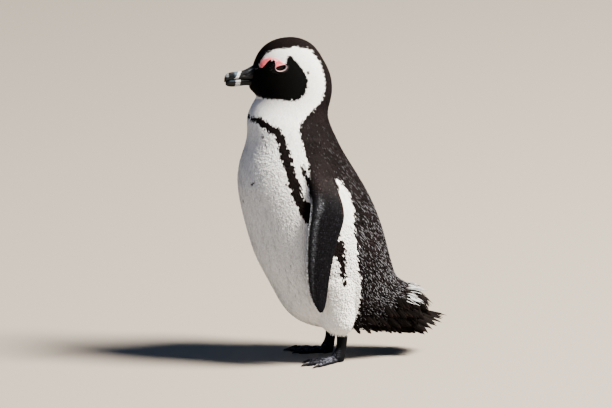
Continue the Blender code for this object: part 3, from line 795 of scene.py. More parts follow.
def vane_places(form, s, a, length, width, depth, lift, crest, yaw):
    """Vanes along +s, in mm: at share t the vane is length t from its root, out = -depth + (depth + lift)
    (1 - (1 - t)^2), its edges lie half its width to each side, and its shaft stands crest above them."""
    per_s, per_a = steps(form, s, a)
    middle = np.clip(s + length / 2 / per_s, 0, None)
    per_s = (per_s + steps(form, middle, a)[0]) / 2
    rings = []
    for t, wide in zip(VANE_RINGS, VANE_WIDTHS):
        out = -depth + (depth + lift) * (1 - (1 - t) ** 2)
        at_s, at_a = s + np.cos(yaw) * length * t / per_s, a + np.sin(yaw) * length * t / per_a
        half = width * wide / 2 / per_a
        rings += [form(at_s, at_a - half, out), form(at_s, at_a, out + crest * wide)]
        rings.append(form(at_s, at_a + half, out))
    tip = form(s + np.cos(yaw) * length / per_s, a + np.sin(yaw) * length / per_a, lift)
    return np.stack([*rings, tip], axis=1)


def coat_piece(name, slot, material, places, colours, tips, unwrap, side=1, fleck=0.0):
    """One piece of coat. tips colours each vane's point and, by the share fleck, the end of its shaft."""
    count = len(places)
    faces = (VANE_FACES[None] + VANE_SIZE * np.arange(count)[:, None, None]).reshape(-1, 3)
    mesh = new_mesh(name, (places * [side, 1, 1]).reshape(-1, 3), faces[:, ::side])
    shades = np.repeat(colours[:, None], VANE_SIZE, axis=1)
    shades += (tips - colours)[:, None] * (fleck * FLECK_SHARES)[None, :, None]
    shades[:, VANE_TIP] = tips
    shades[:, :3] *= ROOT_SHADE
    put_attribute(mesh, "plumage", shades.reshape(-1, 3))
    unwrap = (unwrap - unwrap.min(0)) / np.ptp(unwrap, axis=0) * 0.99 + 0.003
    put_feather_maps(mesh, unwrap, beside(VANE_ACROSS / 2, VANE_ALONG))
    show(mesh, material, slot, smooth=False)


def eye_frame(y, z):
    """Distances in mm along the eye's tilted line, rearwards, and across it, upwards."""
    dy, dz = y - LIDS_MIDDLE[0], z - LIDS_MIDDLE[1]
    c, s = math.cos(EYE_TILT), math.sin(EYE_TILT)
    return dy * c + dz * s, -dy * s + dz * c


def face_opening(y, z, grow):
    """Whether (y, z) lies within the ring of lids round the eye, grown by some mm."""
    p, q = eye_frame(y, z)
    return (p / (LIDS_HALF[0] + grow)) ** 2 + (q / (LIDS_HALF[1] + grow)) ** 2 < 1


def make_body_coat():
    """Head, neck, trunk and root of the tail: roots on one even lattice, parted into pieces by section."""
    crowd = lambda s: crowding(LAYERS, VANE_LENGTH(s), VANE_WIDTH(s))
    s, a, unwrap = scattered(body, (0.06, 27.1), (-np.pi, np.pi), crowd, 11)
    count = len(s)
    root = body(s, a, -1) / MM
    tip = body(s + VANE_LENGTH(s) / steps(body, s, a)[0], a, 0) / MM
    root_x, root_y, root_z = root.T
    back, black, _ = markings(tip)
    belly = (1 - np.maximum(back, black)) * ramp(480, 440, root_z)
    # The face is left bare, with a fringe of feathers over the upper edge of the pink.
    bare = depth_inside(PINK, root_y, root_z)
    bare_tip = depth_inside(PINK, tip[:, 1], tip[:, 2])
    fringe = random.uniform(0, 1, count) < 0.35 * ramp(3.5, 0.5, bare)
    keep = (bare < 0.4) & (bare_tip < 1.6) | ((root_z > 566) & fringe)
    keep &= ~face_opening(root_y, root_z, 0.6) & ~face_opening(tip[:, 1], tip[:, 2], 0.2)
    # No feathers grow where the bill leaves the face.
    keep &= (s > 0.5) | (root_z > 555) | (root_z < 517) | (np.abs(root_x) > 10)
    length = VANE_LENGTH(s) * random.uniform(0.86, 1.14, count)
    flecked = (random.uniform(0, 1, count) < pale_tips(tip)) * back
    width = VANE_WIDTH(s) * random.uniform(0.88, 1.12, count) * (1 - 0.42 * flecked)
    shaggy = ramp(20, 27, s) * back
    lift = random.normal(0, 1, count) * (0.12 + 0.08 * belly + 0.16 * back + 0.9 * shaggy) - 0.25
    lift = np.clip(lift, -1.2, 2.2) + 0.35 * flecked * ramp(500, 400, root_z)
    yaw = random.normal(0, 1, count) * (0.05 + 0.05 * back + 0.1 * shaggy)
    # The back's feathers slant inwards over the shoulders and outwards over the rump.
    slant = 0.3 * ramp(14, 18, s) * ramp(21, 18.5, s) - 0.5 * ramp(19.5, 22, s) * ramp(27, 25.5, s)
    yaw += slant * np.sign(a) * ramp(0.1, 0.6, np.abs(np.sin(a))) * back
    places = vane_places(body, s, a, length, width, COAT_DEPTH(s), lift, 0.08 + 0.14 * back, yaw)
    loose = 0.6 + 0.4 * back + 0.5 * ramp(560, 470, root_z)
    seen = places[:, NEAR_TIP] / MM + random.normal(0, 1, (count, 3)) * loose[:, None]
    seen_z = seen[:, 2]
    back, black, _ = markings(seen)
    dark = np.maximum(back, black)
    tone = random.normal(1, 1, count) * (0.05 + 0.14 * dark)
    colour = body_colour(seen) * (1 + tone - tone.mean())[:, None].clip(0.55, 1.5)
    # Painted shade of lengthwise furrows between the clumps of feathers on breast and belly: the white is a
    # little greyer there.
    painted_furrow_shade = ramp(0.1, 1.2, waves(seen * [1, 1, 0.3], 7, 12)) * ramp(490, 440, seen_z)
    colour = colour * (1 - 0.14 * painted_furrow_shade * (1 - dark))[:, None]
    grey = flecked * back * random.uniform(0.45, 1, count) * ramp(500, 400, seen_z)
    tips = mix(colour, GREY_TIP, grey * (0.4 + 0.6 * ramp(390, 270, seen_z)))
    tail = on_tail(seen) * back
    tail_shade = linear("#100c0b") * (1 + 0.9 * random.uniform(-0.6, 1, count) ** 3)[:, None]
    parts = (places, mix(colour, tail_shade, tail), mix(tips, tail_shade * 1.3, tail), unwrap)
    on_back = np.abs(a) > 1.75
    head_end, neck_end, back_middle, breast_end, tail_start = 8.2, 12.6, 19, 18.5, 26.7
    regions = (  # each takes what those before it have left
        ("head", s < head_end, "black_plumage"),
        ("neck", s < neck_end, "white_plumage"),
        ("upper_back", (s < back_middle) & on_back, "black_plumage"),
        ("breast", (s < breast_end) & ~on_back, "white_plumage"),
        ("lower_back", (s < tail_start) & on_back, "black_plumage"),
        ("belly", s < tail_start, "white_plumage"),
        ("tail_coverts", s >= tail_start, "tail_plumage"),
    )
    for region, inside, slot in regions:
        for name, half in (("left", root_x >= 0), ("right", root_x < 0)):
            chosen = [part[keep & inside & half] for part in parts]
            coat_piece(f"coat_{region}_{name}", slot, CONTOUR, *chosen, fleck=1.0)
        keep &= ~inside


def flipper_colour(places, chord, outer):
    """Flipper feathers: black outside with a painted grey highlight behind the leading edge, which runs up
    into the shoulder; inside white with a black margin and mottling; a thin pale rim along the very edge."""
    z = places[:, 2]
    high = ramp(280, 312, z)
    # Painted highlight: a grey band behind the leading edge, where the flipper's curve faces the light.
    painted_sheen = bell(chord, 0.2 + 0.08 * high + 0.02 * waves(places, 60, 21), 0.07 + 0.035 * high)
    painted_sheen = painted_sheen * ramp(342, 312, z) * (0.45 + 0.4 * ramp(160, 250, z)) * ramp(110, 150, z)
    rust = 0.7 * (ramp(0.9, 0.97, chord) * ramp(270, 300, z) * ramp(345, 320, z))
    rim = 0.85 * (bell(chord, 0, 0.022) * ramp(330, 300, z))
    black, grey, brown, pale = (linear(code) for code in ("#131317", "#5a5d63", "#2b1d17", "#d5d8da"))
    outside = painted(black, (grey, 0.56 * painted_sheen), (brown, rust), (pale, rim))
    margin = ramp(0.2, 0.12, chord) + ramp(0.78, 0.86, chord) + ramp(150, 128, z)
    mottle = ramp(0.35, 0.9, waves(places, 16, 22))
    inside = mix(WHITE, black, np.clip(margin + 0.7 * mottle, 0, 1))
    return np.where(outer[:, None], outside, inside)


def make_flipper_coat():
    """Small stiff feathers like scales, in rows along each flipper."""
    vane_length, vane_width = 5.4, 2.5
    crowd = lambda s: crowding(FLIPPER_LAYERS, vane_length, vane_width)
    for name, side, seed in both_sides(31):
        s, a, unwrap = scattered(flipper, (0.3, 13.9), (0, 2 * np.pi), crowd, seed)
        count = len(s)
        draw = np.random.default_rng(seed)
        taper = ramp(14.2, 12.5, s) * 0.5 + 0.5
        length = vane_length * draw.uniform(0.88, 1.12, count) * taper
        width = vane_width * draw.uniform(0.9, 1.1, count) * taper
        lift = np.clip(draw.normal(-0.12, 0.08, count), -0.4, 0.15)
        yaw = 0.18 * np.sign(np.sin(a)) * ramp(3, 6, s) + draw.normal(0, 0.05, count)
        places = vane_places(flipper, s, a, length, width, 1.1, lift, 0.1, yaw)
        seen = places[:, NEAR_TIP] / MM
        colour = flipper_colour(seen, (1 - np.cos(a)) / 2, np.sin(a) > -0.12)
        near_body = ramp(305, 350, seen[:, 2] + draw.normal(0, 4, count))
        colour = mix(colour, shoulder_colour(seen, ramp(-72, -66, seen[:, 1])), near_body)
        rows = 1 + 0.3 * np.sin(2 * np.pi * seen[:, 2] / 4.2 + 2 * waves(seen, 30, 33))
        speck = 1 + 1.6 * (draw.uniform(0, 1, count) < 0.1)
        colour = colour * (rows * speck * draw.normal(1, 0.3, count).clip(0.4, 1.9))[:, None]
        parts = (places, colour, colour * 1.15, unwrap)
        coat_piece(f"coat_flipper_{name}", "black_plumage", FLIPPER_FEATHER, *parts, side)


def make_shoulder_coat():
    """Feathers that run on from the shoulder over the root of each flipper, so that no edge shows there."""
    crowd = lambda s: crowding(LAYERS, 9, 2.9)
    for name, side, seed in both_sides(45):
        s, a, unwrap = scattered(shoulder, (0.2, 9.6), (0.8, 11.5), crowd, seed)
        draw = np.random.default_rng(seed)
        y, z = shoulder_chart(s, a)
        above = flipper_side(y, z) - body(*body_chart(y, z), 0)[..., 0] / MM
        keep = (above > -13) & (s < 9.0 + draw.uniform(-1.2, 0.6, len(s))) & (y > -92)
        s, a, unwrap, above = s[keep], a[keep], unwrap[keep], above[keep]
        count = len(s)
        length = 9.5 * draw.uniform(0.85, 1.15, count)
        width = 2.9 * draw.uniform(0.88, 1.12, count)
        lift = np.clip(draw.normal(-0.1, 0.2, count), -0.6, 0.6)
        yaw = 0.12 + draw.normal(0, 0.07, count)
        places = vane_places(shoulder, s, a, length, width, 4.0, lift, 0.2, yaw)
        seen = places[:, NEAR_TIP] / MM + draw.normal(0, 0.6, (count, 3))
        over = ramp(-7, 0, above) * ramp(-72, -66, seen[:, 1])
        colour = shoulder_colour(seen, over) * draw.normal(1, 0.2, count).clip(0.5, 1.7)[:, None]
        grey = (draw.uniform(0, 1, count) < 0.06) * draw.uniform(0.05, 0.25, count) * over
        parts = (places, colour, mix(colour, GREY_TIP, grey), unwrap)
        coat_piece(f"coat_shoulder_{name}", "black_plumage", CONTOUR, *parts, side, fleck=1.0)


def make_leg_coat():
    """Soft feathers from the flank down each thigh to a ragged hem over the shank."""
    crowd = lambda s: crowding(LAYERS, 11, 2.9)
    for name, side, seed in both_sides(41):
        s, a, unwrap = scattered(thigh, (0.6, 8.9), (0, 2 * np.pi), crowd, seed)
        draw = np.random.default_rng(seed)
        count = len(s)
        hem = ramp(6.5, 9, s)
        length = (12 - 5 * hem) * draw.uniform(0.8, 1.15, count)
        width = (3.1 - 1.0 * hem) * draw.uniform(0.85, 1.15, count)
        lift = draw.normal(-0.3, 0.3 + 0.6 * hem, count)
        yaw = draw.normal(0, 0.08 + 0.1 * hem, count)
        places = vane_places(thigh, s, a, length, width, 4.6 - 2 * hem, lift, 0.12, yaw)
        # Past the last section the vanes hang straight down over the shank.
        reach = s[:, None] + length[:, None] * VANE_ALONG[None] / steps(thigh, s, a)[0][:, None]
        places[..., 2] -= np.clip(reach - 9, 0, 2) * 4 * MM
        seen = (places[:, NEAR_TIP] / MM + draw.normal(0, 1.0, (count, 3))) * [side, 1, 1]
        tone = draw.normal(1, 0.04, count)[:, None]
        colour = body_colour(seen) * tone
        parts = (places, colour, colour * 0.97, unwrap)
        coat_piece(f"coat_leg_{name}", "white_plumage", CONTOUR, *parts, side)


# ---- stiff tail feathers


def blades(root, tip, across, width, bow, seed, segments=12):
    """Stiff feathers with frayed, pointed ends: the shaft is root + (tip - root) t + bow 4t(1-t) up, the vane
    is as wide as a profile that rises over the first eighth and falls over the last quarter, with saw-toothed
    edges, and the section is a flat diamond."""
    draw = np.random.default_rng(seed)
    t = np.linspace(0, 1, segments + 1)[None, :, None]
    shaft = root[:, None] + (tip - root)[:, None] * t + bow * 4 * t * (1 - t) * UP
    profile = np.minimum(1, t / 0.12 + 0.25) * (1 - np.clip((t - 0.72) / 0.28, 0, 1) ** 1.8)
    fray = 1 - 0.38 * draw.uniform(0, 1, (len(root), segments + 1, 2)) * ramp(0.35, 0.9, t)
    half = width[:, None, None] / 2 * profile * fray + 0.15
    heading = unit((tip - root)[:, None])
    across = across[:, None]
    across = unit(across - heading * (across * heading).sum(-1, keepdims=True))
    normal = np.cross(heading, across)
    normal = normal * np.sign(normal[..., 2:] + 1e-9)
    left, right = shaft - across * half[..., :1], shaft + across * half[..., 1:]
    return np.stack([left, shaft + normal * 0.45, right, shaft - normal * 0.3], axis=2) * MM


def blade_mesh(name, rings, colours, tip_colours, unwrap, slot):
    """The blades as one mesh: a four-sided tube each, with its ends closed."""
    count, rows = rings.shape[:2]
    last = (rows - 1) * 4
    faces = np.concatenate([grid_faces(rows, 4), [(0, 1, 2, 3), (last + 3, last + 2, last + 1, last)]])
    # The tube is right-handed where heading x across points up; others are turned round.
    heading = rings[:, -1, 1] - rings[:, 0, 1]
    across = rings[:, rows // 2, 2] - rings[:, rows // 2, 0]
    turned = np.cross(heading, across)[:, 2] < 0
    all_faces = np.where(turned[:, None, None], faces[None, :, ::-1], faces[None])
    all_faces = all_faces + (np.arange(count) * rows * 4)[:, None, None]
    mesh = new_mesh(name, rings.reshape(-1, 3), all_faces.reshape(-1, 4))
    along = np.linspace(0, 1, rows)[:, None]
    shades = mix(colours[:, None, None], tip_colours[:, None, None], ramp(0.5, 1, along))
    shades = np.broadcast_to(shades, (count, rows, 4, 3)).copy()
    shades[:, :, 1] *= 0.6
    put_attribute(mesh, "plumage", shades.reshape(-1, 3))
    put_feather_maps(mesh, unwrap, beside(np.array([-0.5, 0, 0.5, 0]), along).reshape(-1, 2))
    show(mesh, TAIL_FEATHER, slot, smooth=False)


def tail_row(name, root, tip, across, width, bow, seed, shade, ends="#1c1411"):
    """One row of stiff feathers: near-black with browner, worn ends."""
    draw = np.random.default_rng(seed)
    count = len(root)
    rings = blades(root, tip, across, width * draw.uniform(0.8, 1.1, count), bow, seed)
    shade = linear(shade) * draw.uniform(0.5, 1.5, count)[:, None]
    ends = mix(shade, linear(ends), draw.uniform(0, 1, count) ** 2)
    unwrap = beside(np.linspace(0.005, 0.985, count), 0.1 + 0.12 * (seed - 60))
    blade_mesh(name, rings, shade, ends, unwrap, "tail_plumage")


def spread_across(spread):
    """The direction along the tail's edge, from right to left, at each share of its spread."""
    return unit(tail_edge(spread + 0.01) - tail_edge(spread - 0.01))


def make_tail_feathers():
    """The tail: stiff feathers in one roof-shaped fan with separate points, shorter ones above, below and
    down both sides, and white streaks of the feathers that come through over its root."""
    draw = np.random.default_rng(51)
    # The fan itself, with one feather near the middle a little longer than the rest.
    count = 20
    spread = np.linspace(-0.96, 0.96, count) + draw.uniform(-0.02, 0.02, count)
    root = beside(22 * spread, 122 + 12 * spread**2, 87 - 9 * np.abs(spread) ** 1.5)
    reach = draw.uniform(0.9, 1.0, count)
    reach[count // 2] = 1.03
    tip = mix(root, tail_edge(spread), reach)
    tip[:, 2] += draw.uniform(-1.5, 1.5, count)
    tail_row("tail_feathers", root, tip, spread_across(spread), 9.5, 2.0, 60, "#15100e")

    # Shorter ones over the root of the fan.
    count = 26
    spread = np.linspace(-0.98, 0.98, count) + draw.uniform(-0.02, 0.02, count)
    drop = np.abs(spread) ** 1.5
    root = beside(27 * spread, 117 + 8 * spread**2, 107 - 22 * drop)
    tip = beside(41 * spread, 176 - 27 * spread**2, 98 - 36 * drop)
    tip += draw.uniform(-3, 3, (count, 3)) * [0.5, 1.6, 0.6]
    tail_row("tail_upper_coverts", root, tip, spread_across(spread), 9.0, 3.0, 61, "#0e0b0a")

    # Down each side three rows lie over the flank of the tail, and a fourth hangs below its edge.
    count = 80
    mirrored = beside(np.repeat([1, -1], count // 2), 1, 1)
    t = np.tile(np.linspace(0, 1, 10), 8) + draw.uniform(-0.05, 0.05, count)
    row = np.tile(np.repeat([0, 1, 2, 3], 10), 2)
    root = body(24.3 + 2.9 * t + 0.2 * (row % 2), 2.15 - 0.42 * row, -0.6) / MM
    heading = beside(0.06, 0.62 + 0.2 * t, -0.78 + 0.3 * t - 0.1 * (row == 0))
    heading = unit(heading + draw.normal(0, 0.05, (count, 3)))
    tip = root + heading * (24 - 4 * (row == 3) + draw.uniform(-3, 4, count))[:, None]
    tip[:, 2] = np.maximum(tip[:, 2], 37)
    across = np.cross(heading, [1.0, 0, 0]) * mirrored
    sides = (root * mirrored, tip * mirrored, across)
    tail_row("tail_side_coverts", *sides, 7.0, 0.0, 62, "#130f0e", ends="#291c18")

    # Shorter ones under it.
    count = 18
    spread = np.linspace(-0.8, 0.8, count)
    root = beside(16 * spread, 98, 52)
    tip = mix(root, tail_edge(spread) - [0, 0, 4], draw.uniform(0.62, 0.74, count))
    tail_row("tail_under_coverts", root, tip, spread_across(spread), 9.0, -2.0, 63, "#120e0d")

    # White streaks that come through over the root of the tail, one bunch above the other.
    count = 64
    mirrored = beside(np.repeat([1, -1], count // 2), 1, 1)
    upper = draw.uniform(0, 1, count) < 0.5
    s = np.where(upper, draw.uniform(24.9, 25.9, count), draw.uniform(25.3, 26.3, count))
    a = np.pi - np.where(upper, draw.normal(0.32, 0.1, count), draw.normal(0.78, 0.12, count))
    root = body(s, a, -1.0) / MM
    heading = beside(0.12, 1, np.where(upper, -0.22, -0.42))
    heading = unit(heading + draw.normal(0, 0.09, (count, 3)))
    tip = root + heading * (draw.uniform(17, 31, count) * np.where(upper, 1.0, 0.78))[:, None]
    across = np.cross(heading, draw.normal(0, 0.3, (count, 3)) + [0.6, 0.2, 0.8])
    rings = blades(root, tip, across, draw.uniform(1.3, 2.8, count), 0.8, 70, segments=8)
    shade = linear("#d6d9dc") * draw.uniform(0.5, 1.05, count)[:, None]
    unwrap = beside(draw.uniform(0.01, 0.98, count), draw.uniform(0.01, 0.98, count))
    rings = rings * mirrored[:, None, None]
    blade_mesh("tail_white_tufts", rings, shade, shade * 0.9, unwrap, "white_plumage")


# ---- feet


def foot_frame(side):
    """A foot's heel, the direction in which it points and the one to its outer side, and the headings of its
    inner, middle and outer toe."""
    c, s = math.cos(FOOT_SPLAY), math.sin(FOOT_SPLAY)
    heel = np.array([side * LEG_X, HEEL_Y, 0.0])
    forward, outward = np.array([side * s, -c, 0]), np.array([side * c, s, 0])
    turns = [math.radians(toe[0]) for toe in TOES]
    return heel, forward, outward, [forward * math.cos(turn) + outward * math.sin(turn) for turn in turns]


def left_of(heading):
    """The level direction at right angles to a level heading."""
    return np.array([-heading[1], heading[0], 0])


def toe_tube(root, heading, length, root_width, tip_width, root_height, tip_height, joints):
    """An arched toe: at share t the half width is w cos b and the height h |sin b|^0.7 over a flat sole, both
    swelling at its joints, and the end is rounded off by sqrt(1 - 0.75 e^2) over the last seventh."""
    t, b = grid(0, 1, 44, 40)
    end = np.clip((t - 0.86) / 0.14, 0, 1)
    close = np.sqrt(np.clip(1 - 0.75 * end**2, 0, 1))
    swell = 1 + 0.08 * np.cos(2 * np.pi * joints * t)
    width = (root_width + (tip_width - root_width) * t) * swell / 2 * close
    height = (root_height + (tip_height - root_height) * t) * swell * close
    rise = np.where(np.sin(b) > 0, height * np.abs(np.sin(b)) ** 0.7, 0.0)
    places = root + t[..., None] * length * heading + (width * np.cos(b))[..., None] * left_of(heading)
    return tube((places + rise[..., None] * UP) * MM)


def web_tube(heel, first, second, lengths):
    """The web between two toes: a slab that goes round from toe to toe, its outer edge drawn in by
    0.15 sin(pi share), thin in the middle and thicker towards the heel, with soft radial folds."""
    share, b = grid(0, 1, 40, 90, turn=2)
    heading = unit(mix(first, second, share))
    reach = (lengths[0] + (lengths[1] - lengths[0]) * share) * (0.93 - 0.15 * np.sin(np.pi * share))
    upper = b < 1
    along = np.where(upper, b, 2 - b)
    fold = 0.35 * np.sin(5 * np.pi * share) * ramp(0.1, 0.6, along)
    thick = 2.4 + 2.5 * ramp(0.5, 0.0, along) + fold - 0.8 * ramp(0.85, 1, along)
    rise = np.where(upper, thick, 0.0)
    return tube((heel + heading * (reach * along)[..., None] + rise[..., None] * UP) * MM)


def evaluated(piece):
    """The piece's mesh with its modifiers applied; the piece itself is removed."""
    graph = bpy.context.evaluated_depsgraph_get()
    mesh = bpy.data.meshes.new_from_object(piece.evaluated_get(graph), depsgraph=graph)
    bpy.data.objects.remove(piece)
    return mesh


def foot_mesh(side):
    """Shank, toes and web grown together by a remesh, smoothed, then raised into broad scales: over each toe
    and down the front of the shank a ridge sqrt |cos| high repeats every few mm."""
    heel, forward, outward, headings = foot_frame(side)
    shank = level_ovals(SHANK_SECTIONS, *grid(0, 5, 60, 48), 0) + np.array([side * LEG_X, 0, 0]) * MM
    parts = [tube(shank)]
    for heading, (_, length, *sizes) in zip(headings, TOES):
        parts.append(toe_tube(heel, heading, length, *sizes, joints=3))
    for k in (0, 1):
        parts.append(web_tube(heel, headings[k], headings[k + 1], (TOES[k][1], TOES[k + 1][1])))
    inward = forward * math.sin(HIND_TOE_TURN) - outward * math.cos(HIND_TOE_TURN)
    parts.append(toe_tube(heel - forward * 4, inward, *HIND_TOE, joints=1))
    places, faces = joined(parts)
    rough = placed("foot_rough", new_mesh("foot_rough", places, *faces))
    remesh = rough.modifiers.new("grow together", "REMESH")
    remesh.mode, remesh.voxel_size = "VOXEL", REMESH_SIZE * MM
    smooth = rough.modifiers.new("soften", "SMOOTH")
    smooth.factor, smooth.iterations = 0.5, 3
    mesh = evaluated(rough)
    places, normals = vectors_of(mesh.vertices, "co") / MM, vectors_of(mesh.vertex_normals, "vector")
    raised = np.zeros(len(places))
    for heading, (_, length, root_width, tip_width, *_) in zip(headings, TOES):
        along, across = (places - heel) @ heading, (places - heel) @ left_of(heading)
        width = root_width + (tip_width - root_width) * along / length
        on_toe = ramp(0.62, 0.45, np.abs(across) / width) * ramp(4, 9, along) * (normals[:, 2] > 0.1)
        scale = np.abs(np.cos(np.pi * (along + 0.04 * across**2) / TOE_SCALE)) ** 0.5
        raised = np.maximum(raised, on_toe * scale * ramp(length + 3, length - 4, along))
    on_front = ramp(9, 14, places[:, 2]) * ramp(0.2, -0.4, normals[:, 1])
    raised = np.maximum(raised, on_front * np.abs(np.cos(np.pi * places[:, 2] / SHANK_SCALE)) ** 0.5)
    places = places + normals * (0.42 * raised - 0.15)[:, None]
    places[:, 2] = np.maximum(places[:, 2], 0)
    mesh.vertices.foreach_set("co", (places * MM).astype(np.float32).ravel())
    mesh.update()
    return mesh


def make_claws():
    """Claws: round sections that shrink from root to tip along a line that droops by share^1.8."""
    for name, side, _ in both_sides():
        heel, *_, headings = foot_frame(side)
        parts = []
        for heading, (_, length, *_) in zip(headings, TOES):
            t, b = grid(0, 1, 26, 24)
            radius = (CLAW_RADIUS + (CLAW_TIP_RADIUS - CLAW_RADIUS) * t**1.15) * np.sqrt(1 - 0.97 * t**12)
            base = heel + heading * (length - CLAW_OVERLAP) + UP * CLAW_HEIGHT
            rise = radius * np.sin(b) * (1.15 + 0.15 * (np.sin(b) > 0)) - CLAW_DROOP * t**1.8
            places = base + heading * ((CLAW_LENGTH + CLAW_OVERLAP) * t)[..., None]
            places = places + left_of(heading) * (radius * 0.85 * np.cos(b))[..., None] + rise[..., None] * UP
            places[..., 2] = np.maximum(places[..., 2], 0.1)
            parts.append(tube(places * MM))
        places, faces = joined(parts)
        mesh = new_mesh(f"claws_{name}", places, *faces)
        shade = linear("#1a1918") * (1 + 0.5 * waves(places / MM, 6, 81))[:, None].clip(0.5, 2)
        put_attribute(mesh, "horn", shade)
        nodes = [f"claw_{name}_{toe}" for toe in ("inner", "middle", "outer")]
        show(mesh, CLAW_HORN, "horn", *nodes)


# ---- skin


def make_skin():
    """One skin: body, flippers and legs at the coat's depth inside their outlines, and the bare feet, made
    one solid by Boolean unions."""
    nape = 8  # the head's sections lie closer than the rest
    s = np.concatenate([np.linspace(0, nape, 110)[:-1], np.linspace(nape, 27.05, 168)])
    s, a = np.meshgrid(s, np.linspace(-np.pi, np.pi, 132, endpoint=False), indexing="ij")
    surface = body(s, a, 0) / MM
    p, q = eye_frame(surface[..., 1], surface[..., 2])
    socket = ramp(1.15, 0.75, np.hypot(p / LIDS_HALF[0], q / LIDS_HALF[1])) * (s < nape)
    trunk_places, trunk_faces = tube(body(s, a, -COAT_DEPTH(s) - 7 * socket))
    skin = placed("skin_body", new_mesh("skin_body", trunk_places, *trunk_faces))
    s, a = grid(0.4, 8.9, 50, 60)
    limbs = (flipper(*grid(0, 13.8, 110, 44), -1.0), thigh(s, a, -4.2 + 0.2 * s))
    tubes = [tube(limb, side) for _, side, _ in both_sides() for limb in limbs]
    meshes = [new_mesh("skin_limb", places, *faces) for places, faces in tubes]
    for k, mesh in enumerate([*meshes, foot_mesh(1), foot_mesh(-1)]):
        union = skin.modifiers.new(f"union {k}", "BOOLEAN")
        union.operation, union.solver = "UNION", "MANIFOLD"
        union.object = placed(f"limb_{k}", mesh)
    helpers = [modifier.object for modifier in skin.modifiers]
    mesh = evaluated(skin)
    for helper in helpers:
        bpy.data.objects.remove(helper)
    mesh.name = "skin"
    places = vectors_of(mesh.vertices, "co") / MM
    x, y, z = np.abs(places[:, 0]), places[:, 1], places[:, 2]
    colour = mix(body_colour(places), PINK_SKIN * 0.6, markings(places)[2]) * 0.7
    colour[(x > 84) & (y < 0) & (z > 100) & (z < 340)] = linear("#141316")  # flippers
    colour[y > 130] = linear("#0f0c0b")  # tail
    foot = ramp(52, 46, z) * (y < 60) * (np.abs(x - 52) < 45)
    grey = linear("#0f1014") * (1 + 0.35 * waves(places, 18, 91))[:, None].clip(0.5, 1.6)
    upward = vectors_of(mesh.vertex_normals, "vector")[:, 2]
    put_attribute(mesh, "plumage", mix(colour, grey, foot))
    put_attribute(mesh, "scaled", foot)
    # Pale dust and a painted highlight on the upward faces of the feet.
    put_attribute(mesh, "worn", foot * ramp(0.0, 0.5, upward) * ramp(30, 16, z))
    pairs = [f"{part}_{name}" for part in ("flipper", "leg", "foot") for name in ("left", "right")]
    show(mesh, SKIN, "foot_skin", "head", "neck", "trunk", "tail", *pairs)


# ---- face


def corner_line(p):
    """The line between the corners of the lids."""
    return 1.75 + 0.09 * p


def lid_edge(turn):
    """The opening between the lids, in the eye's frame: p = 9.7 cos, and from the corners' line q rises
    2.1 |sin|^0.9 above and falls 7.3 |sin| below."""
    sine = np.sin(turn)
    p = 9.7 * np.cos(turn) + 0.1
    return p, corner_line(p) + np.where(sine > 0, 2.1 * np.abs(sine) ** 0.9, -7.3 * np.abs(sine))


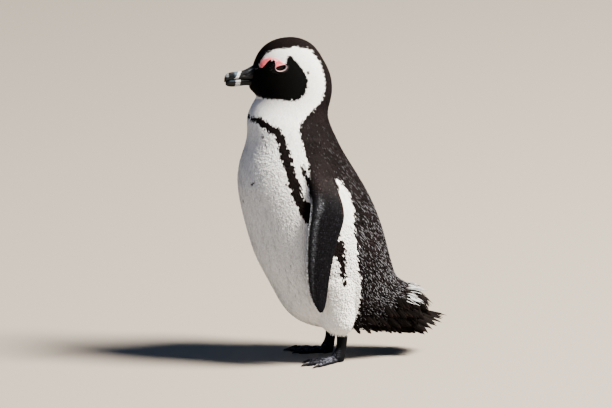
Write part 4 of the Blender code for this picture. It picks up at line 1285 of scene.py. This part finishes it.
def make_face_skin():
    """Bare skin round each eye, from the lids out to where it dips under the feathers. Each ring of the polar
    grid is a mix of the lid's edge, the ring round the lids and the patch's outer oval; out of the outline it
    stands as a rolled lid (1 mm below, flatter above), then lies just under the feather tips over the pink,
    and sinks beyond."""
    turn = np.linspace(0, 2 * np.pi, 220, endpoint=False)
    share = np.concatenate([np.linspace(-0.6, 1, 30), np.linspace(1, 2, 80)[1:]])[:, None]
    lid = beside(*lid_edge(turn))
    ring = beside(LIDS_HALF[0] * np.cos(turn), LIDS_HALF[1] * np.sin(turn))
    far = beside(-12 + 38 * np.cos(turn), 3 + 22 * np.sin(turn))
    outer = np.clip(share - 1, 0, 1)
    p, q = np.moveaxis(mix(lid, ring, np.clip(share, None, 1)) + (far - ring) * outer[..., None], -1, 0)
    c, sn = math.cos(EYE_TILT), math.sin(EYE_TILT)
    y, z = LIDS_MIDDLE[0] + p * c - q * sn, LIDS_MIDDLE[1] + p * sn + q * c
    s, a = body_chart(y, z)
    at = beside(30, y, z)
    pink, mask = (depth_inside(edge, y.ravel(), z.ravel()).reshape(y.shape) for edge in (PINK, MASK))
    plateau = ramp(-3.0, 0.5, np.maximum(pink, 3.2 - 12 * outer))
    wrinkle = 0.22 * waves(at, 2.6, 101) + 0.14 * waves(at, 1.2, 102)
    out = -0.55 - (COAT_DEPTH(s) + 0.9) * (1 - plateau) + wrinkle * plateau * ramp(0.0, 0.1, outer)
    roll = np.sin(np.pi * np.clip((share - 0.1) / 0.95, 0, 1)) ** 0.8
    above = ramp(-0.5, 2.0, q - corner_line(p))
    out = out + (1.2 - 0.75 * above) * roll * (share <= 1.05)
    surface = body(s, a, out) / MM
    # Inside the ring the skin goes down to the globe and a little under it.
    gap_y, gap_z = y - EYE_MIDDLE[1], z - EYE_MIDDLE[2]
    globe_x = EYE_MIDDLE[0] + np.sqrt(np.clip(EYE_RADIUS**2 - gap_y**2 - gap_z**2, 4, None))
    target = globe_x + 0.35 - 3.5 * ramp(0.0, -0.6, share)
    surface[..., 0] += (target - surface[..., 0]) * ramp(0.36, 0.0, share)
    blotch = (1 + 0.14 * waves(at, 6, 103) + 0.1 * waves(at, 2, 104))[..., None]
    # The pink fades to whitish skin where it meets the white brow.
    fade = ramp(4.0, 0.0, pink) * ramp(-2.0, -6.0, mask) * ramp(560, 566, z) * ramp(-146, -138, y)
    pink_shade = mix(PINK_SKIN * blotch, linear("#f2dcdc"), 0.6 * fade)
    around = body_colour(at.reshape(-1, 3)).reshape(at.shape)
    rim = 0.88 + 0.14 * above
    on_ring = ramp(0.08, 0.25, share) * ramp(rim + 0.06, rim - 0.1, share)
    colour = painted(
        around,
        (pink_shade, ramp(-0.9, 0.1, pink + 0.4 * waves(at, 1.6, 105))),
        (mix(linear("#b9a1a4") * blotch, linear("#dd8085") * blotch, above), on_ring),
        (linear("#33211f"), ramp(0.15, 0.02, share)),
    )
    for name, side, _ in both_sides():
        places = surface.reshape(-1, 3) * [side, 1, 1]
        mesh = new_mesh(f"face_skin_{name}", places * MM, grid_faces(*y.shape)[:, ::side])
        put_attribute(mesh, "face_colour", colour.reshape(-1, 3))
        show(mesh, BARE_FACE, "foot_skin")


def make_eyes():
    """Globes: latitude rings about the outward axis, with the pupil, iris and dark rim coloured by angle."""
    turn, ring = grid(0.02, np.pi - 0.02, 60, 72)
    for name, side, _ in both_sides():
        low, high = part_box("eye_" + name)
        middle = np.array((low + high) / 2)
        radius = (high.x - low.x) / 2
        x, y = side * np.cos(turn) * radius, np.sin(turn) * np.cos(ring) * radius * side
        places, faces = tube(beside(x, y, np.sin(turn) * np.sin(ring) * radius) + middle)
        mesh = new_mesh("eyeball_" + name, places, *faces)
        angle = np.arccos(np.clip(side * (places[:, 0] - middle[0]) / radius, -1, 1))
        pupil, iris, rim = (linear(code) for code in ("#030303", "#130c09", "#060404"))
        colour = painted(pupil, (iris, ramp(0.30, 0.36, angle)), (rim, ramp(0.62, 0.72, angle)))
        put_attribute(mesh, "iris", colour)
        show(mesh, EYE, "eye", "eye_" + name)


def bill_surface(table, upper):
    """Bill sections: x = 1.12 half width |sin a|^0.75 (1 - 0.42 h) and z from lower to upper edge by
    (1 - cos a) / 2, with h that share measured from the mouth. Seams, nostril and growth lines are cut in."""
    v, turn = grid(0, len(table) - 1, 150, 88)
    y, top, bottom, half = np.moveaxis(spline(table, v), -1, 0)
    if not upper:  # its rim fits up inside the upper half
        top = top + 1.6
    height = (1 - np.cos(turn)) / 2
    outer = height if upper else 1 - height
    z = bottom + (top - bottom) * height
    seam = bell(outer, 0.52 + 0.1 * ramp(-165, -140, y), 0.055) * ramp(-196, -188, y)
    slant = y + 0.9 * (z - 530) * (1 if upper else -1)
    growth = np.sin(2 * np.pi * slant / 2.6) * ramp(-178, -170, y)
    nostril = bell(y, -171, 3.4) * bell(outer, 0.47, 0.07) if upper else 0
    step = ramp(-176.5, -178.5, slant) * ramp(-196, -190, y)
    cut = -0.55 * seam - 1.3 * nostril + 0.13 * growth + 0.3 * step
    sine = np.sin(turn)
    width = np.abs(sine) ** 0.75 * (1 - 0.42 * outer) * 1.12
    x = np.maximum(half + cut * ramp(0.08, 0.3, np.abs(sine)), 0.4) * width * np.sign(sine)
    return beside(x, y, z), outer


def bill_colour(places, outer, upper):
    """Dark horn with a pale band across both halves, slanting forwards over the upper one; blue-grey in front
    of it and a pale scuff on the hook, partly a painted highlight, with a painted shadow in the groove behind
    the hook;
    behind it dark blotched plates, whose seams are black, with a painted highlight along the side of the
    culmen."""
    y, z = places[..., 1], places[..., 2]
    shades = ("#09090b", "#c6c9cb", "#43535f", "#0e0f11", "#2d3034", "#9a9fa4")
    black, pale, blue, plate, worn, scuff_and_highlight = (linear(c) for c in shades)
    blotch = ramp(-0.2, 0.9, waves(places * [1, 0.6, 1], 7, 114))
    lines = 0.5 + 0.5 * np.sin(2 * np.pi * (y + 0.9 * (z - 530)) / 5.2)
    # Painted highlight: a paler line along the side of the culmen, where its curve catches the light.
    streak = bell(z - 549 - 0.45 * (y + 160), 0, 0.9) * np.exp(-(((y + 160) / 5) ** 4))
    old = 0.75 * blotch * lines + 0.5 * ramp(0.55, 0.95, outer) * ramp(-150, -165, y)
    colour = mix(plate, worn, np.clip(old * 0.75, 0, 1)) + (scuff_and_highlight - plate) * (0.4 * streak)[..., None]
    colour *= (0.15 + 0.85 * ramp(-152, -165, y))[..., None]
    colour = mix(colour, linear("#15181a") if upper else black, ramp(-182, -185, y))
    if upper:
        bluish = ramp(-184, -186, y) * ramp(-193, -189, y) * ramp(536, 540, z)
        bluish += 0.45 * ramp(-186, -189, y) * ramp(-199, -195, y) * ramp(535, 532, z)
        middle, half = -181.5 - 0.6 * (544 - z), 2.7 + 1.3 * ramp(538, 533, z)
        # Painted shadow in the groove behind the hook.
        hook_groove_shadow = bell(y + 201 + 0.7 * (536 - z), 0, 1.1) * ramp(541, 538, z)
        # The hook's pale scuff is partly a painted highlight.
        hook = ramp(-200.5, -203, y) * ramp(535, 538, z)
    else:
        bluish = 0.6 * ramp(-189, -191, y) * ramp(-202, -198, y) * ramp(526.5, 528.5, z)
        middle, half = -184.3 - 0.1 * (530 - z), 4.5
        hook_groove_shadow = hook = 0 * y
    band = ramp(half + 0.6, half - 0.6, np.abs(y - middle + 0.5 * waves(places, 4, 111)))
    band = band * (0.85 + 0.25 * waves(places, 3, 112)).clip(0, 1)
    scuffed_and_lit = 0.7 * hook * (0.8 + 0.4 * waves(places, 2, 113))
    colour = painted(colour, (blue, 0.85 * bluish), (pale, band * 0.95), (scuff_and_highlight, scuffed_and_lit))
    return colour * (1 - 0.75 * hook_groove_shadow)[..., None]


def make_bill():
    """Both halves of the bill, from inside the face to the hooked tip."""
    for name, table, upper in (("bill_upper", UPPER_BILL, True), ("bill_lower", LOWER_BILL, False)):
        places, outer = bill_surface(table, upper)
        colour = bill_colour(places, outer, upper)
        # The sections run forwards, so the tube is turned to point outwards.
        vertices, faces = tube(places * MM)
        mesh = new_mesh(name + "_horn", vertices, *[f[:, ::-1] for f in faces])
        ends = np.stack([colour[0].mean(0), colour[-1].mean(0)])
        put_attribute(mesh, "horn", np.concatenate([colour.reshape(-1, 3), ends]))
        show(mesh, BILL_HORN, "horn", name)


# ---- stage


def aim(thing, place, back):
    """Puts a camera or a lamp at a place, facing away from the heading back."""
    thing.location = place
    thing.rotation_euler = Vector(back).to_track_quat("Z", "Y").to_euler()


def make_stage():
    """A pale paper floor, one broad warm light from behind and above, a weak cool one in front, and a long
    lens at the bird's left front, a little above it."""
    size = 30.0
    corners = np.array([(-size, -size, 0), (size, -size, 0), (size, size, 0), (-size, size, 0)])
    floor_mesh = new_mesh("backdrop_floor", corners + [0, 0, cad_low[2]], np.array([(0, 1, 2, 3)]))
    floor_mesh.materials.append(BACKDROP)
    floor = placed("backdrop_floor", floor_mesh)
    floor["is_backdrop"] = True

    scene = bpy.context.scene
    azimuth, elevation = math.radians(76), math.radians(12)
    right = np.array([math.cos(azimuth), math.sin(azimuth), 0])
    level = np.array([math.sin(azimuth), -math.cos(azimuth), 0])
    back = level * math.cos(elevation) + UP * math.sin(elevation)
    # The view's width in mm holds in the plane that lies in front of the target, nearer the lens.
    across, height, in_front, view_width = -53.4, 281.5, 60, 1126
    target = (across * right + height * np.cross(back, right)) * MM
    distance = 24.0
    lens = bpy.data.cameras.new("long lens")
    lens.sensor_width = 36
    lens.lens = lens.sensor_width * distance / (view_width * MM)
    lens.clip_end = 200
    scene.camera = placed("camera", lens)
    aim(scene.camera, target + back * (distance + in_front * MM), back)

    # Name, direction towards the light, distance, size, watts, colour
    lights = (
        ("key", right * 0.8 + back * 0.2 + UP * 0.95, 9.0, 3.0, 4300, "#fff6e9"),
        ("fill", -right * 0.6 + back * 0.8 + UP * 0.35, 3.5, 2.6, 8.5, "#94b8ff"),
    )
    for name, towards, away, size, watts, colour in lights:
        lamp = bpy.data.lights.new(name, "AREA")
        lamp.shape, lamp.size, lamp.energy = "DISK", size, watts
        lamp.color = linear(colour)
        heading = Vector(towards).normalized()
        aim(placed(name, lamp), Vector((0, 0, 0.3)) + heading * away, heading)
    world = scene.world = bpy.data.worlds.new("soft room light")
    world.use_nodes = True
    background = world.node_tree.nodes["Background"]
    background.inputs["Color"].default_value = opaque(linear("#b4ccf2"))
    background.inputs["Strength"].default_value = 0.2
    scene.view_settings.look = "AgX - Medium High Contrast"


make_skin()
make_body_coat()
make_flipper_coat()
make_shoulder_coat()
make_leg_coat()
make_tail_feathers()
make_claws()
make_face_skin()
make_eyes()
make_bill()
make_stage()
